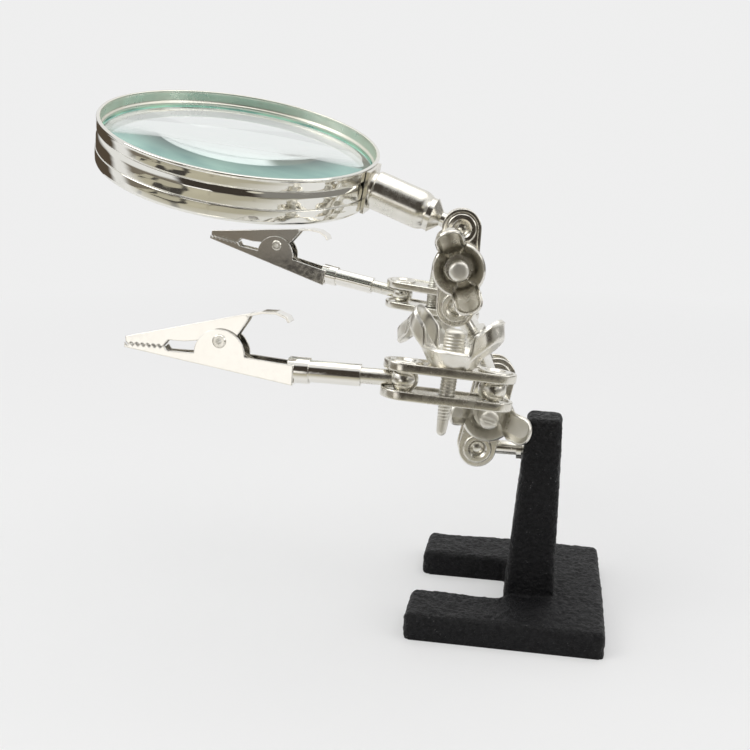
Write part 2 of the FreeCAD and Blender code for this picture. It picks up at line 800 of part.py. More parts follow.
def upper_jaw_shape():
    """Upper jaw: a channel, open downwards, inside the lower one's ears, with a finger tab."""
    tail, tip, pivot_x, pivot_z = clip_marks()
    thin = size("clip_sheet")
    inset = thin + size("jaw_slack")
    mouth = size("mouth_height") + size("mouth_gap") / 2
    notch = tip - size("tooth_count") * size("tooth_pitch")
    heel = tip - size("heel_from_tip")
    high = size("heel_height")
    outline = [(tip, size("upper_lip"))]
    outline += teeth(tip, mouth, -size("tooth_height") * 0.9)
    outline += [
        (notch - 0.8, mouth + size("notch_height")),
        (notch - size("notch_length"), mouth + size("notch_height")),
        (pivot_x + size("upper_ear_radius"), pivot_z),
        (pivot_x - size("upper_ear_radius"), pivot_z),
        (heel + 0.6, high - 1.6),
        (heel, high),
    ]
    solid = prism(outline, 10).fuse(cross_pin(size("upper_ear_radius"), 10, pivot_x, pivot_z))
    roof = [(heel - 1, -20), (tip + 1, -20),
            (tip + 1, size("upper_lip") - thin), (heel - 1, high - thin)]
    outer = wedge(heel - 1, tip, jaw_width(heel - 1, inset), jaw_width(tip, inset), 20)
    inner = wedge(heel - 2, tip + 1, jaw_width(heel - 2, inset + thin),
                  jaw_width(tip + 1, inset + thin), 20)
    shell = solid.common(outer).cut(prism(roof, 10).common(inner))
    length = size("tab_length")
    top = [(heel + 0.8, high - 0.3), (heel - length * 0.3, high + 0.6),
           (heel - length * 0.65, high + 0.7), (heel - length * 0.92, high - 0.2),
           (heel - length, high - 1.3)]
    under = [(heel - length + 0.5, high - 1.45), (heel - length * 0.88, high - 0.65),
             (heel - length * 0.63, high + 0.15), (heel - length * 0.3, high + 0.05),
             (heel + 0.8, high - 0.85)]
    tab = prism(top + under, size("tab_width") / 2)
    shell = shell.fuse(tab)
    bore = size("rivet_radius") + size("running_clearance")
    return shell.cut(cross_pin(bore, 10, pivot_x, pivot_z)).removeSplitter()


def rivet_shape():
    """Tubular rivet through the ears, with a head on each side."""
    tail, tip, pivot_x, pivot_z = clip_marks()
    reach = jaw_width(pivot_x - size("rivet_head"), 0)
    head = size("rivet_head_height")
    shank = cross_pin(size("rivet_radius"), reach + head / 2, pivot_x, pivot_z)
    for side in (1, -1):
        start = Vector(pivot_x, side * reach, pivot_z)
        dome = Part.makeCone(size("rivet_head"), size("rivet_head") - head * 0.7, head, start,
                             Vector(0, side, 0))
        shank = shank.fuse(dome)
    return shank.cut(cross_pin(size("rivet_bore"), 10, pivot_x, pivot_z)).removeSplitter()


def spring_shape():
    """Torsion spring: a coil about the rivet and a tangent leg towards each jaw's web."""
    tail, tip, pivot_x, pivot_z = clip_marks()
    wire, radius, pitch = size("spring_wire"), size("spring_radius"), size("spring_pitch")
    low, high = size("lower_leg_angle"), size("upper_leg_angle")
    turns = size("spring_turns") + ((high - low - 180) % 360) / 360
    last = math.tau * turns
    ends = []
    for turn, length in ((0, -size("lower_leg")), (last, size("upper_leg"))):
        start = Vector(radius * math.cos(turn), radius * math.sin(turn), pitch * turn / math.tau)
        heading = Vector(-radius * math.sin(turn), radius * math.cos(turn), pitch / math.tau)
        ends.append((start, heading.normalize() * length))
    (first, back), (final, onward) = ends
    path = Part.Wire([Part.makeLine(first + back, first)]
                     + Part.makeHelix(pitch, pitch * turns, radius).Edges
                     + [Part.makeLine(final, final + onward)])
    section = Part.Wire(Part.makeCircle(wire, first + back, back))
    solid = path.makePipeShell([section], True, False)
    middle = Vector(pivot_x, pitch * turns / 2, pivot_z)
    upright = Placement(middle, Rotation(Vector(1, 0, 0), 90))
    solid.Placement = upright.multiply(Placement(Vector(), Rotation(Vector(0, 0, 1), low + 90)))
    return solid


def make_clips():
    """Ball rod, sleeve, two jaws, rivet and spring of each clip."""
    shapes = {
        "lower_jaw": lower_jaw_shape(),
        "upper_jaw": upper_jaw_shape(),
        "rivet": rivet_shape(),
        "spring": spring_shape(),
    }
    for name, (ball, link, up) in CLIPS.items():
        frame = facing(ball, along(link), up)
        title = "".join(word.capitalize() for word in name.split("_"))
        rod = fused(title + "Rod", [
            sphere(title + "Ball", "ball_radius"),
            cylinder(title + "Shank", "rod_radius", "0", "rod_end", "X"),
        ])
        finish(rod, f"{name}_ball_rod", frame)
        tube = cylinder(title + "Tube", "sleeve_radius", "sleeve_start",
                        "sleeve_shown + sleeve_hidden", "X")
        bore = cylinder(title + "Bore", "rod_radius + running_clearance", "sleeve_start - 1",
                        "sleeve_shown + sleeve_hidden + 2", "X")
        finish(cut(title + "Sleeve", tube, bore), f"{name}_sleeve", frame)
        for piece, shape in shapes.items():
            solid = doc.addObject("Part::Feature", title + piece.title().replace("_", ""))
            solid.Shape = shape.copy()
            finish(solid, f"{name}_{piece}", frame.multiply(shape.Placement))


# ---------------------------------------------------------------------------
# Lens
# ---------------------------------------------------------------------------


def make_lens():
    """Biconvex glass in a rolled band, closed below by a ring, on a tubular handle."""
    reach = along("handle")
    centre = lens_ball + reach * (size("band_radius") + size("lens_standoff"))
    handle_frame = facing(lens_ball, reach, LENS_UP)
    cant = Rotation(Vector(0, 1, 0), size("lens_cant"))
    ring_frame = Placement(centre, handle_frame.Rotation.multiply(cant))

    band = doc.addObject("PartDesign::Body", "Band")
    outer, inner = "band_radius", "( band_radius - band_sheet )"
    depth = "groove_depth"
    revolved(band, "BandWall", [
        (inner, "0"),
        (outer, "0"),
        (outer, "0 - groove_top"),
        (f"{outer} - {depth}", "0 - groove_top - groove_width * 0.3"),
        (f"{outer} - {depth}", "0 - groove_top - groove_width * 0.7"),
        (outer, "0 - groove_top - groove_width"),
        (outer, "0 - band_height"),
        (inner, "0 - band_height"),
        (inner, "0 - groove_top - groove_width"),
        (f"{inner} - {depth}", "0 - groove_top - groove_width * 0.7"),
        (f"{inner} - {depth}", "0 - groove_top - groove_width * 0.3"),
        (inner, "0 - groove_top"),
    ])
    finish(band, "lens_band", ring_frame)

    glass = doc.addObject("Part::Common", "Glass")
    glass_top = "( 0 - groove_top - groove_width - 0.05 )"
    glass_radius = "( band_radius - band_sheet - glass_play )"
    dome = f"( ( {glass_radius} * {glass_radius} + glass_crown * glass_crown ) / ( 2 * glass_crown ) )"
    upper = sphere("GlassUpper", dome, f"{glass_top} + glass_crown - {dome}")
    lower = sphere("GlassLower", dome, f"{glass_top} - glass_edge - glass_crown + {dome}")
    lentil = doc.addObject("Part::Common", "GlassLentil")
    lentil.Base, lentil.Tool = upper, lower
    rim = cylinder("GlassRim", glass_radius, f"{glass_top} - glass_edge - glass_crown",
                   "glass_edge + 2 * glass_crown")
    glass.Base, glass.Tool = lentil, rim
    finish(glass, "lens_glass", ring_frame)

    ring = doc.addObject("PartDesign::Body", "Ring")
    seat = f"{glass_top} - glass_edge - glass_slack"
    spigot = f"{inner} - ring_wall"
    revolved(ring, "RingWall", [
        (spigot, seat),
        (f"{inner} - seat_slack", seat),
        (f"{inner} - seat_slack", "0 - band_height"),
        (f"{outer} + ring_proud", "0 - band_height"),
        (f"{outer} + ring_proud", "0 - band_height - ring_height + 0.5"),
        (f"{outer} + ring_proud - 0.5", "0 - band_height - ring_height"),
        (spigot, "0 - band_height - ring_height"),
    ])
    finish(ring, "lens_retaining_ring", ring_frame)

    make_saddle(ring_frame, handle_frame)
    make_handle(handle_frame)
    return ring_frame, handle_frame


def make_saddle(ring_frame, handle_frame):
    """Curved plate brazed on the band, with the stem that the handle tube is pressed over."""
    outer = size("band_radius") + size("ring_proud") + size("seat_slack")
    thick = size("saddle_sheet")
    spread = math.degrees(size("saddle_width") / outer)
    height = size("band_height") + size("ring_height") - 0.6
    shell = Part.makeCylinder(outer + thick, height, Vector(0, 0, -height - 0.3),
                              Vector(0, 0, 1), spread)
    drum = Part.makeCylinder(outer, 2 * height, Vector(0, 0, -1.5 * height))
    shell = shell.cut(drum)
    shell.rotate(Vector(), Vector(0, 0, 1), 180 - spread / 2)
    start = size("band_radius") + size("lens_standoff") - outer / math.cos(math.radians(size("lens_cant")))
    plug = start - thick - size("handle_gap") - size("stub_length")
    stub = Part.makeCylinder(size("saddle_stub"), start - plug, Vector(plug, 0, 0),
                             Vector(1, 0, 0))
    stub.Placement = ring_frame.inverse().multiply(handle_frame)
    saddle = doc.addObject("Part::Feature", "Saddle")
    saddle.Shape = shell.fuse(stub.cut(drum)).removeSplitter()
    return finish(saddle, "lens_saddle", ring_frame)


def make_handle(frame):
    """Ball stem with its plug, and the polished tube that joins it to the saddle."""
    outer = "( band_radius + ring_proud )"
    start = f"( band_radius + lens_standoff - {outer} / cos( lens_cant ) - saddle_sheet - handle_gap )"
    tube_start = f"( {start} - handle_length )"
    wall = "( handle_radius - handle_wall )"

    tube = doc.addObject("PartDesign::Body", "HandleTube")
    revolved(tube, "TubeWall", [
        (wall, f"{tube_start}"),
        ("handle_radius - handle_round", f"{tube_start}"),
        ("handle_radius", f"{tube_start} + handle_round"),
        ("handle_radius", f"{start} - handle_round"),
        ("handle_radius - handle_round", f"{start}"),
        (wall, f"{start}"),
    ])
    along_x = frame.multiply(Placement(Vector(), TURN_TO_X))
    finish(tube, "handle_tube", along_x)

    plug = f"{wall} - running_clearance"
    shoulder = f"( {tube_start} - running_clearance )"
    stem = doc.addObject("PartDesign::Body", "BallStem")
    revolved(stem, "StemProfile", [
        ("0", "0"),
        ("rod_radius", "0"),
        ("rod_radius", f"{shoulder} - stem_cone"),
        ("handle_radius - handle_round * 2", f"{shoulder}"),
        (plug, f"{shoulder}"),
        (plug, f"{tube_start} + stem_plug"),
        ("0", f"{tube_start} + stem_plug"),
    ])
    ball = stem.newObject("PartDesign::AdditiveSphere", "StemBall")
    ball.AttachmentSupport = (origin_part(stem, "XY_Plane"), [""])
    ball.MapMode = "FlatFace"
    bind(ball, Radius="ball_radius")
    finish(stem, "lens_ball_stem", along_x)


# ---------------------------------------------------------------------------
# Build, test and export
# ---------------------------------------------------------------------------


def export():
    """Recompute, refuse anything broken and write one STEP file for each sub-part."""
    doc.recompute()
    broken = [thing.Name for thing in doc.Objects if {"Invalid", "Error"} & set(thing.State)]
    if broken:
        raise RuntimeError(f"features that failed: {broken}")
    os.makedirs("parts", exist_ok=True)
    for thing in PARTS:
        shape = thing.Shape
        if shape.isNull() or not shape.isValid() or not shape.Solids:
            raise RuntimeError(f"{thing.Label} is not a sound solid")
        shape.exportStep(f"parts/{thing.Label}.step")
        print(f"{thing.Label}: {len(shape.Solids)} solid, {shape.Volume:.1f} mm3")


make_base()
make_stud()
make_clamps()
make_hub()
make_clips()
make_lens()
export()
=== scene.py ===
# %% [markdown]
# # Helping hands with a magnifier
#
# A bench helper has a heavy cast foot, a few ball joints squeezed between pressed plates, two
# sharp-nosed spring clips and a round glass on a short handle.  The hard parts were built as a
# CAD model, so their sizes and joints are settled.  This file dresses that model: it adds the
# shapes that look too plain in CAD, then gives every surface a finish made of shader nodes.

# %% Load the CAD frame
import bpy
import bmesh
import json
import math
import numpy as np
from mathutils import Matrix, Vector

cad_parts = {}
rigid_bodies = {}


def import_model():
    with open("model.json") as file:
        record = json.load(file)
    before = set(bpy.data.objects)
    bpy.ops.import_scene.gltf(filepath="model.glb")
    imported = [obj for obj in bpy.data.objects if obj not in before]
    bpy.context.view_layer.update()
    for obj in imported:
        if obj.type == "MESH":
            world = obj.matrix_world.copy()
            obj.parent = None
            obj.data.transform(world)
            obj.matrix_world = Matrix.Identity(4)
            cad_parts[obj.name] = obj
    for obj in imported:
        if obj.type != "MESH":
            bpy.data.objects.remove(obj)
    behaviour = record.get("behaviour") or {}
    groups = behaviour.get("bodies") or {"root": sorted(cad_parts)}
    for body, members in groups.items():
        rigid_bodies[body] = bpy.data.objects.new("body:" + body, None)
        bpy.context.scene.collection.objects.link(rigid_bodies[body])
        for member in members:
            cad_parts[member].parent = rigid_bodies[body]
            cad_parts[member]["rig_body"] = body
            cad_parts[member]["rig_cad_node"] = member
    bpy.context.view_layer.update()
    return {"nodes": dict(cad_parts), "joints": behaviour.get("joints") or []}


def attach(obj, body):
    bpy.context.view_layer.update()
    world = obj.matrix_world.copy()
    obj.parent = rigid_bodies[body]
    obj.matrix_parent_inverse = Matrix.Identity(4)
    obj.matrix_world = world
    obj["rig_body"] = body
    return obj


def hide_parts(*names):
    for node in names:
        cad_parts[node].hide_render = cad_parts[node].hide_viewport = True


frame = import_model()
nodes = frame["nodes"]
joints = {joint["name"]: joint for joint in frame["joints"]}
print("CAD nodes:", len(nodes), "joints:", len(joints))

# %% [markdown]
# ## Where things are
#
# Every new piece has to sit exactly on the CAD model.  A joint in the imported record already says
# where a screw or a handle turns, and a solid's own triangles say where its middle is and how it
# leans.  Reading both keeps this file free of copied coordinates: if the CAD model moves, the
# pieces follow.

# %% Read places from the joints and from the solids
MM = 0.001


def place_of(joint):
    """A joint's point and unit axis as arrays."""
    spot = np.array(joints[joint]["pos_m"], float)
    axis = np.array(joints[joint]["axis"], float)
    return spot, axis / np.linalg.norm(axis)


def rows_of(data, field):
    """A field of three numbers, such as co, for every item of a mesh's data."""
    values = np.empty(len(data) * 3, np.float32)
    data.foreach_get(field, values)
    return values.reshape(-1, 3)


def points_of(node):
    """All vertices of a CAD node as one array of rows."""
    return rows_of(nodes[node].data.vertices, "co").astype(float)


def solid_axes(node):
    """Centre of volume and main directions of a closed solid, thinnest direction first.

    Each triangle and the origin make a tetrahedron.  Its signed volume is a.(b x c) / 6, and the
    signed sums of volume, of first moments and of second moments belong to the solid.
    """
    mesh = nodes[node].data
    mesh.calc_loop_triangles()
    corners = np.empty(len(mesh.loop_triangles) * 3, np.int32)
    mesh.loop_triangles.foreach_get("vertices", corners)
    fan = points_of(node)[corners].reshape(-1, 3, 3)
    volume = np.einsum("ij,ij->i", fan[:, 0], np.cross(fan[:, 1], fan[:, 2])) / 6
    total = fan.sum(1)
    centre = (volume[:, None] * total).sum(0) / 4 / volume.sum()
    spread = np.einsum("i,ikm,ikn->mn", volume, fan, fan)
    spread = spread + np.einsum("i,im,in->mn", volume, total, total)
    spread = spread / 20 / volume.sum() - np.outer(centre, centre)
    return centre, np.linalg.eigh(spread)[1].T


def cross_axes(up, towards):
    """Three unit rows x, y, z: z is up, and x is the part of towards that is square to it."""
    z = up / np.linalg.norm(up)
    x = towards - z * (towards @ z)
    x = x / np.linalg.norm(x)
    return np.array([x, np.cross(z, x), z])


lens_centre, lens_axes = solid_axes("lens_glass")
lens_up = lens_axes[0] * np.sign(lens_axes[0][2])
print("lens leans", round(math.degrees(math.acos(lens_up[2])), 1), "degrees")

# %% [markdown]
# ## From a formula to a mesh
#
# A pressed or turned part is one smooth surface, so each new piece is a function of two
# parameters worked out on a grid.  numpy computes the whole grid at once, and foreach_set hands
# it to Blender without a loop over vertices.  The alternative, pushing vertices about by hand or
# stacking primitives, gives no control over how tightly a rim is rounded.

# %% Turn a grid of points into a mesh
def grid_piece(name, grid, body, wrap_rows=False):
    """Mesh whose quads join each point of a (rows, columns, 3) grid to its neighbours.

    The last column joins the first, and with wrap_rows the last row joins the first too.  Rows
    that shrink to a point are merged, so that a pole is closed.
    """
    rows, columns = grid.shape[:2]
    index = np.arange(rows * columns).reshape(rows, columns)
    if wrap_rows:
        index = np.vstack([index, index[:1]])
    index = np.hstack([index, index[:, :1]])
    quads = np.stack([index[:-1, :-1], index[:-1, 1:], index[1:, 1:], index[1:, :-1]], axis=-1)
    quads = quads.reshape(-1, 4)
    mesh = bpy.data.meshes.new(name)
    mesh.vertices.add(rows * columns)
    mesh.vertices.foreach_set("co", grid.astype(np.float32).ravel())
    mesh.loops.add(quads.size)
    mesh.loops.foreach_set("vertex_index", quads.astype(np.int32).ravel())
    mesh.polygons.add(len(quads))
    mesh.polygons.foreach_set("loop_start", np.arange(0, quads.size, 4, dtype=np.int32))
    mesh.update(calc_edges=True)
    shape = bmesh.new()
    shape.from_mesh(mesh)
    bmesh.ops.remove_doubles(shape, verts=shape.verts, dist=2e-6)
    bmesh.ops.dissolve_degenerate(shape, edges=shape.edges, dist=1e-7)
    bmesh.ops.recalc_face_normals(shape, faces=shape.faces)
    shape.to_mesh(mesh)
    shape.free()
    mesh.shade_smooth()
    piece = bpy.data.objects.new(name, mesh)
    bpy.context.scene.collection.objects.link(piece)
    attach(piece, body)
    print(name, "has", len(mesh.vertices), "points")
    return piece


def rounded(profile, radius, steps):
    """Profile of (r, h) rows whose inner corners become parabolic arcs.

    At a corner P the arc leaves the line from A at A' and joins the line to B at B', each at the
    radius or 0.45 of the line away, and runs (1-t)^2 A' + 2t(1-t) P + t^2 B'.
    """
    line = np.array(profile, float)
    before, corner, after = line[:-2], line[1:-1], line[2:]

    def stop(other):
        """Where the arc leaves the line towards another corner."""
        away = other - corner
        length = np.linalg.norm(away, axis=1, keepdims=True)
        return corner + away * np.minimum(radius / length, 0.45)

    t = np.linspace(0, 1, steps)[None, :, None]
    first, last = stop(before)[:, None], stop(after)[:, None]
    arcs = (1 - t) ** 2 * first + 2 * t * (1 - t) * corner[:, None] + t ** 2 * last
    return np.vstack([line[:1], arcs.reshape(-1, 2), line[-1:]])


def turned(centre, axes, profile, columns):
    """Grid of a turned shape: each (r, h) of the profile goes once round the axis.

    The point at angle a is centre + r cos(a) x + r sin(a) y + h z.
    """
    angle = np.linspace(0, math.tau, columns, endpoint=False)
    radius, height = profile[:, 0][:, None, None], profile[:, 1][:, None, None]
    ring = np.cos(angle)[:, None] * axes[0] + np.sin(angle)[:, None] * axes[1]
    return centre + radius * ring[None] + height * axes[2]


# %% [markdown]
# ## Node helpers
#
# A finish is built from a handful of ideas: a noise at some size, a ramp that turns it into light
# and dark, and a bump that tilts the surface.  Writing each as a small function keeps the
# materials short.  All patterns read Object coordinates, which are real metres here, so one
# millimetre of wrinkle is one millimetre on every piece.

# %% Small functions for shader nodes
class Finish:
    """A new material with a Principled shader, and short ways to add nodes to it."""

    def __init__(self, name, **sockets):
        self.material = bpy.data.materials.new(name)
        self.material.use_nodes = True
        self.tree = self.material.node_tree
        self.shader = self.tree.nodes["Principled BSDF"]
        self.place = self.tree.nodes.new("ShaderNodeTexCoord").outputs["Object"]
        for socket, value in sockets.items():
            self.shader.inputs[socket.replace("_", " ")].default_value = value

    def link(self, source, target):
        """Joins an output socket to an input socket."""
        self.tree.links.new(source, target)

    def add(self, kind, inputs=None, **settings):
        """Node of a kind; each input is a socket to link from or a plain value."""
        node = self.tree.nodes.new(kind)
        for key, value in settings.items():
            setattr(node, key, value)
        for key, value in (inputs or {}).items():
            if isinstance(value, bpy.types.NodeSocket):
                self.link(value, node.inputs[key])
            else:
                node.inputs[key].default_value = value
        return node

    def noise(self, size, detail, stretch=None):
        """Smooth noise whose blobs are about size metres across, 0 to 1."""
        place = self.place
        if stretch is not None:
            place = self.add("ShaderNodeMapping", {"Vector": place, "Scale": stretch}).outputs[0]
        return self.add("ShaderNodeTexNoise", {
            "Vector": place, "Scale": 1 / size, "Detail": detail,
        }).outputs["Fac"]

    def ramp(self, value, low, high, start=0.35, end=0.65):
        """Maps a value from start..end onto low..high, and keeps it there beyond."""
        return self.add("ShaderNodeMapRange", {
            "Value": value, "From Min": start, "From Max": end, "To Min": low, "To Max": high,
        }).outputs["Result"]

    def mix(self, share, first, second):
        """Colour between first and second."""
        node = self.add("ShaderNodeMix", data_type="RGBA")
        for key, value in (("Factor", share), ("A", first), ("B", second)):
            socket = [s for s in node.inputs if s.name == key and s.enabled][0]
            if isinstance(value, bpy.types.NodeSocket):
                self.link(value, socket)
            else:
                socket.default_value = value
        return [s for s in node.outputs if s.enabled][0]

    def bump(self, height, distance, strength, below=None):
        """Normal that is tilted by a height of this many metres."""
        inputs = {"Height": height, "Distance": distance, "Strength": strength}
        if below is not None:
            inputs["Normal"] = below
        return self.add("ShaderNodeBump", inputs).outputs["Normal"]

    def set(self, **sources):
        """Links sockets to the shader's inputs and returns the finished material."""
        for socket, source in sources.items():
            self.link(source, self.shader.inputs[socket.replace("_", " ")])
        return self.material


def wear(piece, finish):
    """Gives a piece one finish."""
    piece.data.materials.clear()
    piece.data.materials.append(finish)


# %% [markdown]
# ## Bright metal
#
# The arms, plates and clips are steel with a bright nickel skin.  A plated surface is a mirror
# with small faults: the sheet under it is a little wavy, tumbling has left tiny dents, and the
# skin is duller in places.  So the colour is nearly constant and warm, and the work is in the
# roughness and in two sizes of bump.  A Bevel node rounds the sharp CAD edges in the shading.

# %% Nickel for turned parts, pressed sheet, clips, chrome, screws and spring wire
def plated(name, tone, dull, fine, wave, edge=0.00012, stain=0.35):
    """Bright plating: tone colour, roughness range dull, small dents fine and waviness wave."""
    finish = Finish(name, Metallic=1.0)
    soft = finish.noise(0.006, 3.0)
    small = finish.noise(0.0011, 4.0)
    grey = (tone[0] * 0.80, tone[1] * 0.79, tone[2] * 0.74, 1)
    colour = finish.mix(finish.ramp(soft, 0, stain), (*tone, 1), grey)
    rough = finish.add("ShaderNodeMath", {
        0: finish.ramp(soft, *dull), 1: finish.ramp(small, -0.02, 0.05),
    }, operation="ADD").outputs[0]
    normal = None
    if edge:
        normal = finish.add("ShaderNodeBevel", {"Radius": edge}, samples=4).outputs[0]
    normal = finish.bump(finish.noise(0.009, 1.0), 0.001, wave, normal)
    normal = finish.bump(small, 0.0001, fine, normal)
    return finish.set(Base_Color=colour, Roughness=rough, Normal=normal)


turned_nickel = plated("turned_nickel", (0.82, 0.80, 0.74), (0.17, 0.28), 0.20, 0.10)
pressed_nickel = plated("pressed_nickel", (0.81, 0.785, 0.72), (0.15, 0.28), 0.16, 0.12,
                        edge=0.0002)
clip_nickel = plated("clip_nickel", (0.88, 0.86, 0.81), (0.07, 0.09), 0.05, 0.015,
                     edge=0.0003, stain=0.08)
lens_chrome = plated("lens_chrome", (0.86, 0.85, 0.80), (0.02, 0.06), 0.03, 0.04, stain=0.12)
screw_steel = plated("screw_steel", (0.82, 0.80, 0.74), (0.40, 0.55), 0.45, 0.25, stain=0.4)
satin_nickel = plated("satin_nickel", (0.86, 0.84, 0.78), (0.27, 0.38), 0.10, 0.06, edge=0.0002)
spring_wire = plated("spring_wire", (0.60, 0.58, 0.54), (0.25, 0.40), 0.30, 0.05, edge=0)
print("metals made")

# %% [markdown]
# ## Wrinkle paint
#
# The foot is cast and dipped in a thick black paint that dries in pebbles about a millimetre
# wide.  Close up the pebbles break the outline, so a bump alone isn't enough: the mesh itself
# is displaced first, and the finer grain is left to the nodes.  The nodes also paint light: the
# pebble crests are painted a little lighter, and tiny sparkles are painted glints.

# %% Black wrinkle paint
def wrinkle_paint():
    """Near-black paint with a fine grain; pebble crests painted lighter and small painted glints.
    """
    finish = Finish("black_wrinkle_paint", Specular_IOR_Level=0.25)
    pebble = finish.noise(0.0009, 2.0)
    grain = finish.noise(0.00042, 3.0)
    patch = finish.noise(0.011, 2.0)
    # Painted highlight: the pebble crests, where the bump is highest, are painted lighter.
    colour = finish.mix(finish.ramp(pebble, 0, 1, 0.38, 0.68),
                        (0.002, 0.002, 0.0026, 1), (0.008, 0.008, 0.009, 1))
    colour = finish.mix(finish.ramp(patch, 0, 0.4), colour, (0.004, 0.004, 0.005, 1))
    # Painted glints: light grey specks painted into the colour.
    painted_glint = finish.ramp(grain, 0, 1, 0.69, 0.74)
    colour = finish.mix(painted_glint, colour, (0.11, 0.11, 0.11, 1))
    rough = finish.ramp(pebble, 0.55, 0.38)
    crests = finish.ramp(pebble, 0, 1, 0.40, 0.62)
    normal = finish.bump(crests, 0.00016, 0.8)
    normal = finish.bump(finish.ramp(grain, 0, 1, 0.40, 0.60), 0.00012, 0.9, normal)
    return finish.set(Base_Color=colour, Roughness=rough, Normal=normal)


black_paint = wrinkle_paint()

# %% [markdown]
# ## The cast foot
#
# The CAD foot is a clean block with rounded edges.  The real one is a rough sand casting under
# thick paint.  A copy of it is welded, remeshed into even voxels and pushed in and out along its
# normals by lattice noise of three sizes, which gives pebbles without a seam at any edge.

# %% Lattice noise and the painted foot
def lattice_noise(points, size, seed):
    """Smooth random heights, -1 to 1, with one random value at each corner of a cubic lattice.

    The value at a point blends the eight corners around it with weights 3t^2 - 2t^3.
    """
    table = np.random.default_rng(seed).uniform(-1, 1, (64, 64, 64))
    cell = np.floor(points / size).astype(int)
    share = points / size - cell
    share = share * share * (3 - 2 * share)
    total = np.zeros(len(points))
    for corner in range(8):
        bits = np.array([corner & 1, corner >> 1 & 1, corner >> 2 & 1])
        weight = np.prod(np.where(bits, share, 1 - share), axis=1)
        total += weight * table[tuple(((cell + bits) % 64).T)]
    return total


RELIEF = ((0.14, 1.1, 3), (0.08, 0.55, 5), (0.20, 8, 8))  # height mm, size mm, seed


def painted_foot(voxel):
    """Remeshed copy of the casting, displaced along its normals by three sizes of noise."""
    copy = bpy.data.objects.new("painted_foot", nodes["base_casting"].data.copy())
    bpy.context.scene.collection.objects.link(copy)
    shape = bmesh.new()
    shape.from_mesh(copy.data)
    bmesh.ops.remove_doubles(shape, verts=shape.verts, dist=1e-6)
    shape.to_mesh(copy.data)
    shape.free()
    remesh = copy.modifiers.new("Voxels", "REMESH")
    remesh.mode, remesh.voxel_size = "VOXEL", voxel
    ready = copy.evaluated_get(bpy.context.evaluated_depsgraph_get())
    mesh = bpy.data.meshes.new_from_object(ready)
    copy.modifiers.clear()
    copy.data = mesh
    points = rows_of(mesh.vertices, "co")
    normals = rows_of(mesh.vertex_normals, "vector")
    height = sum(tall * lattice_noise(points, size * MM, seed)
                 for tall, size, seed in RELIEF) - 0.10
    # The lowest 0.2 mm stays flat, so that the foot still stands on the floor.
    height *= MM * np.clip((points[:, 2] - 0.0002) / 0.0008, 0, 1)
    points += normals * height[:, None]
    mesh.vertices.foreach_set("co", points.ravel())
    mesh.update()
    mesh.shade_smooth()
    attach(copy, "base")
    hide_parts("base_casting")
    print("painted_foot has", len(mesh.polygons), "faces")
    return copy


foot = painted_foot(0.36 * MM)
wear(foot, black_paint)

# %% [markdown]
# ## Wing screws
#
# Each clamp is tightened by a screw with a stamped head: a small cup, and two trays that rise
# from its sides for a finger and thumb.  It is a single piece of sheet, so one surface describes
# it.  Straight lines run out from the cup's foot to the edge of the head, and near that edge the
# sheet turns up into a flange.  Solidify then gives the sheet its thickness and Bevel its rim.

# %% The rim of a stamped wing head
# In millimetres: where a wing starts, its length along the slope, its half widths at the cup and
# at the tip, its corner's radius and its flange's depth; then the cup's radii, its height and the
# lowest point of its edge.
RISE = math.radians(48)
WING = {"start": 3.6, "length": 12.4, "root": 3.2, "tip": 3.2, "corner": 2.9, "depth": 2.8}
CUP = {"hole": 1.9, "foot": 3.5, "wall": 5.5, "height": 3.7, "low": 1.2}


def quarter_rim(count=54):
    """Edge points and flange vectors of a quarter of the head, from a tip's middle to the cup.

    On the wing the edge lies on a plane that rises at RISE, and the flange stands square to it.
    On the cup the edge is a circle, and the flange stands nearly straight up.
    """
    length, tip, corner = WING["length"], WING["tip"], WING["corner"]
    bend = np.linspace(0, math.pi / 2, 14)
    outline = np.vstack([
        np.column_stack([np.full(8, length), np.linspace(0, tip - corner, 8, endpoint=False)]),
        np.column_stack([length - corner + corner * np.cos(bend),
                         tip - corner + corner * np.sin(bend)]),
        np.column_stack([np.linspace(length - corner, 3.4, 20)[1:],
                         np.linspace(tip, WING["root"], 20)[1:]]),
    ])
    out, side = outline.T
    edge = np.column_stack([WING["start"] + out * math.cos(RISE), side,
                            0.5 + out * math.sin(RISE)])
    tall = np.clip((out - 3.0) / 4.0, 0, 1)
    tall = 0.5 + (WING["depth"] - 0.5) * tall * tall * (3 - 2 * tall)
    flange = np.array([-math.sin(RISE), 0, math.cos(RISE)]) * tall[:, None]
    turn = np.radians(np.linspace(40, 90, 14))
    wall = CUP["wall"]
    low = CUP["low"] + 1.5 * np.linspace(1, 0, 14) ** 2
    cup_edge = np.column_stack([wall * np.cos(turn), wall * np.sin(turn), low])
    cup_flange = np.column_stack([0.7 * np.cos(turn), 0.7 * np.sin(turn), CUP["height"] - low])
    edge, flange = np.vstack([edge, cup_edge]), np.vstack([flange, cup_flange])
    along = np.r_[0, np.cumsum(np.linalg.norm(np.diff(edge, axis=0), axis=1))]
    even = np.linspace(0, along[-1], count)
    return [np.column_stack([np.interp(even, along, part[:, k]) for k in range(3)])
            for part in (edge, flange)]


def whole_rim():
    """Four mirrored quarters joined into one closed loop and smoothed by a running mean."""
    loops = []
    for part in quarter_rim():
        half = np.vstack([part, (part * [-1, 1, 1])[-2::-1]])
        loop = np.vstack([half, (half * [1, -1, 1])[-2:0:-1]])
        for _ in range(6):
            loop = (np.roll(loop, 1, 0) + 2 * loop + np.roll(loop, -1, 0)) / 4
        loops.append(loop)
    return loops


def wing_share(edge):
    """1 in the middle of a wing and 0 on the cup, smoothly, for each point of the rim."""
    reach = np.clip((np.linalg.norm(edge[:, :2], axis=1) - 6.2) / 2.5, 0, 1)
    return reach * reach * (3 - 2 * reach)


